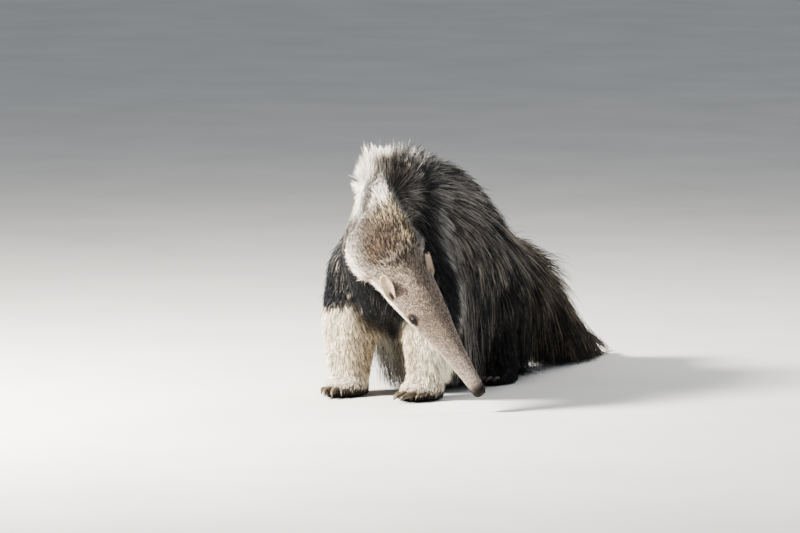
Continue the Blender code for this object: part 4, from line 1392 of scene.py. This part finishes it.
def ear_point(side, share, wide, inner):
    """A point of the ear's shell, by its place along and across it, on its inner or
    outer face."""
    base, along, out, across = ear_frame(side)
    half = EAR_HALF_WIDTH * (0.62 + 1.1 * share) * math.sqrt(max(0.02, 1 - share ** 2.6))
    half *= min(1.0, 0.30 + 0.70 * math.sqrt(share / 0.22))
    bulge = 0.75 * EAR_BULGE * (1 - 0.30 * share)
    wall = EAR_THICKNESS * (1 - 0.3 * share) * (1 - wide ** 6) if inner else 0
    depth = bulge * (1 - wide * wide) - wall
    depth -= EAR_LIFT * (0.5 + 0.5 * wide) * eased(share, 0.0, 0.30)
    middle = base + along * (EAR_LENGTH * share - EAR_SINK)
    return middle + across * half * wide * (0.97 if inner else 1.0) - out * depth


def build_ear(side, material):
    """A thin cup, pale and hairy inside but for the dark opening low in it, which is
    painted shade, as is a wider shade inside it that is darker in the left ear.
    """
    rows, arc = 18, 19
    size = rows * arc
    points = [ear_point(side, i / (rows - 1), -1 + 2 * k / (arc - 1), inner)
              for inner in (False, True) for i in range(rows) for k in range(arc)]
    outer = grid_faces(rows, arc, False)
    faces = outer + [tuple(size + i for i in quad[::-1]) for quad in outer]
    for i in range(rows - 1):
        for k in (0, arc - 1):
            a = i * arc + k
            faces.append((a, a + arc, a + arc + size, a + size))
    for i in (0, rows - 1):
        for k in range(arc - 1):
            a = i * arc + k
            faces.append((a, a + 1, a + 1 + size, a + size))
    ear = mesh_piece(f"ear_shell_{side_name(side)}", points, faces, material)
    along, across = np.divmod(np.arange(size), arc)
    along, across = along / (rows - 1), -1 + 2 * across / (arc - 1)

    def spread(middle, long, wide):
        return np.exp(-((along - middle) / long) ** 2 - (across / wide) ** 2)

    # Painted shade: the opening, and a wider shade inside, darker in the left ear
    painted_inner_shade = (0.90 if side > 0 else 0.50) * spread(*EAR_SHADE)
    shade = np.clip(np.maximum(1.5 * spread(*EAR_HOLE), painted_inner_shade), 0, 1)[:, None]
    inside = np.array(EAR_PALE) * (1 - shade) + np.array(EAR_PAINTED_SHADE) * shade
    outside = np.tile(np.array(EAR_BACK), (size, 1))
    set_colours(ear.data, np.concatenate([outside, inside]))
    return ear


def ear_fuzz(side, material):
    """Short pale hair over the ear's back, along its rim and thinly inside it."""
    _, along, out, across = ear_frame(side)
    count = 2200
    share = rng.uniform(0.05, 1.0, count) ** 0.8
    wide = rng.uniform(-1, 1, count)
    rim = rng.random(count) < 0.35
    wide[rim] = np.sign(wide[rim]) * rng.uniform(0.9, 1.0, rim.sum())
    inner = (rng.random(count) < 0.38) & ((share > 0.42) | (np.abs(wide) > 0.6))
    root = np.array([ear_point(side, *spot) for spot in zip(share, wide, inner)])
    root += np.array(SHIFT)
    facing = np.where(inner, 1, -1)[:, None]
    normal = unit(np.array(out)[None] * facing + np.array(across)[None] * wide[:, None] * 0.9)
    look = np.zeros((count, LOOK_WIDTH))
    look[:, :3] = np.array(along) + rng.normal(0, 0.15, (count, 3))
    look[:, LENGTH], look[:, STAND], look[:, WIDTH] = 0.0065, 0.30, 0.0005
    path, across_tuft = tuft_paths(root, normal, look, 2, clumped(root, 6), 0.2)
    shown = np.where(inner | rim, 1.0, 0.35)
    pale = np.array(EAR_HAIR) * (shown * rng.uniform(0.45, 0.9, count))[:, None]
    place = np.column_stack([wide * 0.5 + 0.5, share])
    return tuft_mesh(f"ear_fuzz_{side_name(side)}", path, across_tuft, look[:, WIDTH],
                     pale * 0.8, pale, place, material)


def build_face():
    """The eyes, lids and ears, then the mouth and the nose."""
    lid = hair_material("lid_skin", 0.75, 700.0)
    eye = eye_material()
    ear_skin = hair_material("ear_skin", 0.6, 320.0)
    fuzz = hair_material("ear_hair", 0.6, 900.0)
    for side in (1, -1):
        name = side_name(side)
        placed(build_eye(side, eye), "eye", f"eye_{name}")
        placed(build_lids(side, lid), "face_coat", "head")
        placed(build_ear(side, ear_skin), "ear_coat", f"ear_{name}")
        placed(ear_fuzz(side, fuzz), "ear_coat", f"ear_{name}")
    painted_hole_shade = painted_hole_shade_material()
    for piece in build_mouth(lip_skin(), painted_hole_shade) + build_nose(bare_skin(), painted_hole_shade):
        placed(piece, "face_coat", "head")


# The claws


# Each claw's place across its foot, its radius at the root and its size
CLAWS = {"forefoot": [(-0.031, 0.0048, 0.60), (-0.010, 0.0082, 1.15),
                      (0.014, 0.0092, 1.30), (0.037, 0.0050, 0.65)],
         "hindfoot": [(-0.032, 0.0045, 0.80), (-0.017, 0.0055, 1.00), (0.0, 0.0058, 1.05),
                      (0.017, 0.0055, 1.00), (0.032, 0.0045, 0.80)]}

# How far a claw first reaches ahead, and its further steps inwards, ahead and down
CLAW_STEPS = {"forefoot": (0.018, [(0.003, 0.013, 0.002), (0.004, 0.010, 0.005),
                                   (0.004, 0.004, 0.008)]),
              "hindfoot": (0.014, [(0.0, 0.010, 0.003), (0.0, 0.008, 0.006)])}


def claw_data(foot, side, root, radius, size):
    """Points and faces of one curved claw, from its root to its tip."""
    start, steps = CLAW_STEPS[foot]
    stops = [root, root + Vector((0, -start, CLAW_RISE))]
    for inwards, ahead, down in steps:
        stops.append(stops[-1] + Vector((-side * inwards * size, -ahead * size, -down)))
    path, radii = [], []
    for four, t, share in spans(stops, 5):
        path.append(catmull(*four, t))
        radii.append(radius * (1 - share ** 2.2) + CLAW_TIP)
    return tube_data(path + stops[-1:], radii + [CLAW_TIP], Vector((0, 0, 1)), 14)


def build_claws(material):
    """Curved claws, one piece for each foot."""
    for foot, side, run in limbs(1):
        if foot not in CLAWS:
            continue
        front = run[2]
        parts, hidden = [], []
        for number, (across, radius, size) in enumerate(CLAWS[foot], 1):
            reach = front.sizes[1] * math.sqrt(1 - (across / front.sizes[0]) ** 2)
            root = Vector((front.centre.x + side * across, front.centre.y - reach + CLAW_SUNK,
                           CLAW_Z))
            parts.append(claw_data(foot, side, root, radius, size))
            hidden.append(f"{foot.replace('foot', 'claw')}_{side_name(side)}_{number}")
        claws = mesh_piece(f"{foot}_claws_{side_name(side)}", *joined(parts), material)
        placed(claws, "claw", *hidden)


# The stage


# Each light's azimuth, elevation, distance, size, power and colour
LIGHTS = {"key": (-48, 36, 3.6, 0.8, 780, (1.0, 0.95, 0.87)),
          "fill": (80, 25, 4.2, 3.0, 26, (0.70, 0.83, 1.0)),
          "rim": (170, 50, 4.0, 1.6, 110, (1.0, 0.97, 0.92))}
SKY = (0.86, 0.92, 1.0, 1)
SKY_STRENGTH = 0.38
FILM_WIDTH = 36


def aimed(name, data, azimuth, elevation, distance):
    """A light or the camera at a distance from the animal, turned towards it."""
    obj = linked(name, data)
    turn, rise = math.radians(azimuth), math.radians(elevation)
    back = Vector((math.sin(turn) * math.cos(rise), -math.cos(turn) * math.cos(rise),
                   math.sin(rise)))
    obj.location = AIM + SHIFT + back * distance
    obj.rotation_mode = "QUATERNION"
    obj.rotation_quaternion = (-back).to_track_quat("-Z", "Y")
    return obj


def build_stage():
    """A wide pale floor, soft lights and the camera."""
    bpy.ops.mesh.primitive_circle_add(vertices=96, radius=60, fill_type="NGON")
    floor = bpy.context.object
    floor.name = "floor"
    floor.data.materials.append(floor_material())
    world = bpy.data.worlds.new("studio")
    world.use_nodes = True
    sky = world.node_tree.nodes["Background"]
    sky.inputs["Color"].default_value = SKY
    sky.inputs["Strength"].default_value = SKY_STRENGTH
    bpy.context.scene.world = world
    for name, (azimuth, elevation, distance, size, power, colour) in LIGHTS.items():
        data = bpy.data.lights.new(name, "AREA")
        data.size = size
        data.energy = power
        data.color = colour
        aimed(name, data, azimuth, elevation, distance)
    data = bpy.data.cameras.new("camera")
    data.sensor_width = FILM_WIDTH
    data.lens = FILM_WIDTH * PIXELS_PER_METRE * CAMERA_DISTANCE / IMAGE_WIDTH
    data.clip_end = 200
    camera = aimed("camera", data, CAMERA_AZIMUTH, CAMERA_ELEVATION, CAMERA_DISTANCE)
    bpy.context.scene.camera = camera
    bpy.context.scene.view_settings.look = "AgX - Medium High Contrast"


def main():
    build_stage()
    skin = build_skin()
    arrays = mesh_arrays(skin.data)
    tree = BVHTree.FromPolygons([Vector(p) for p in arrays[0]], arrays[2].tolist())
    design = arrays[0] - np.array(SHIFT)
    looks = looks_at(design, *guides(tree))
    amount, pale, dark = colours_at(design, looks, arrays[1])
    set_colours(skin.data, (pale * amount[:, None] + dark * (1 - amount[:, None])) * ROOT_SHADE)
    nodes = [node for part in ("torso", "neck", "head", "tail", *LIMBS) for node in nodes_for(part)]
    placed(skin, "body_coat", *nodes)
    build_coat(arrays, looks, tree)
    build_face()
    build_claws(horn_material())


main()
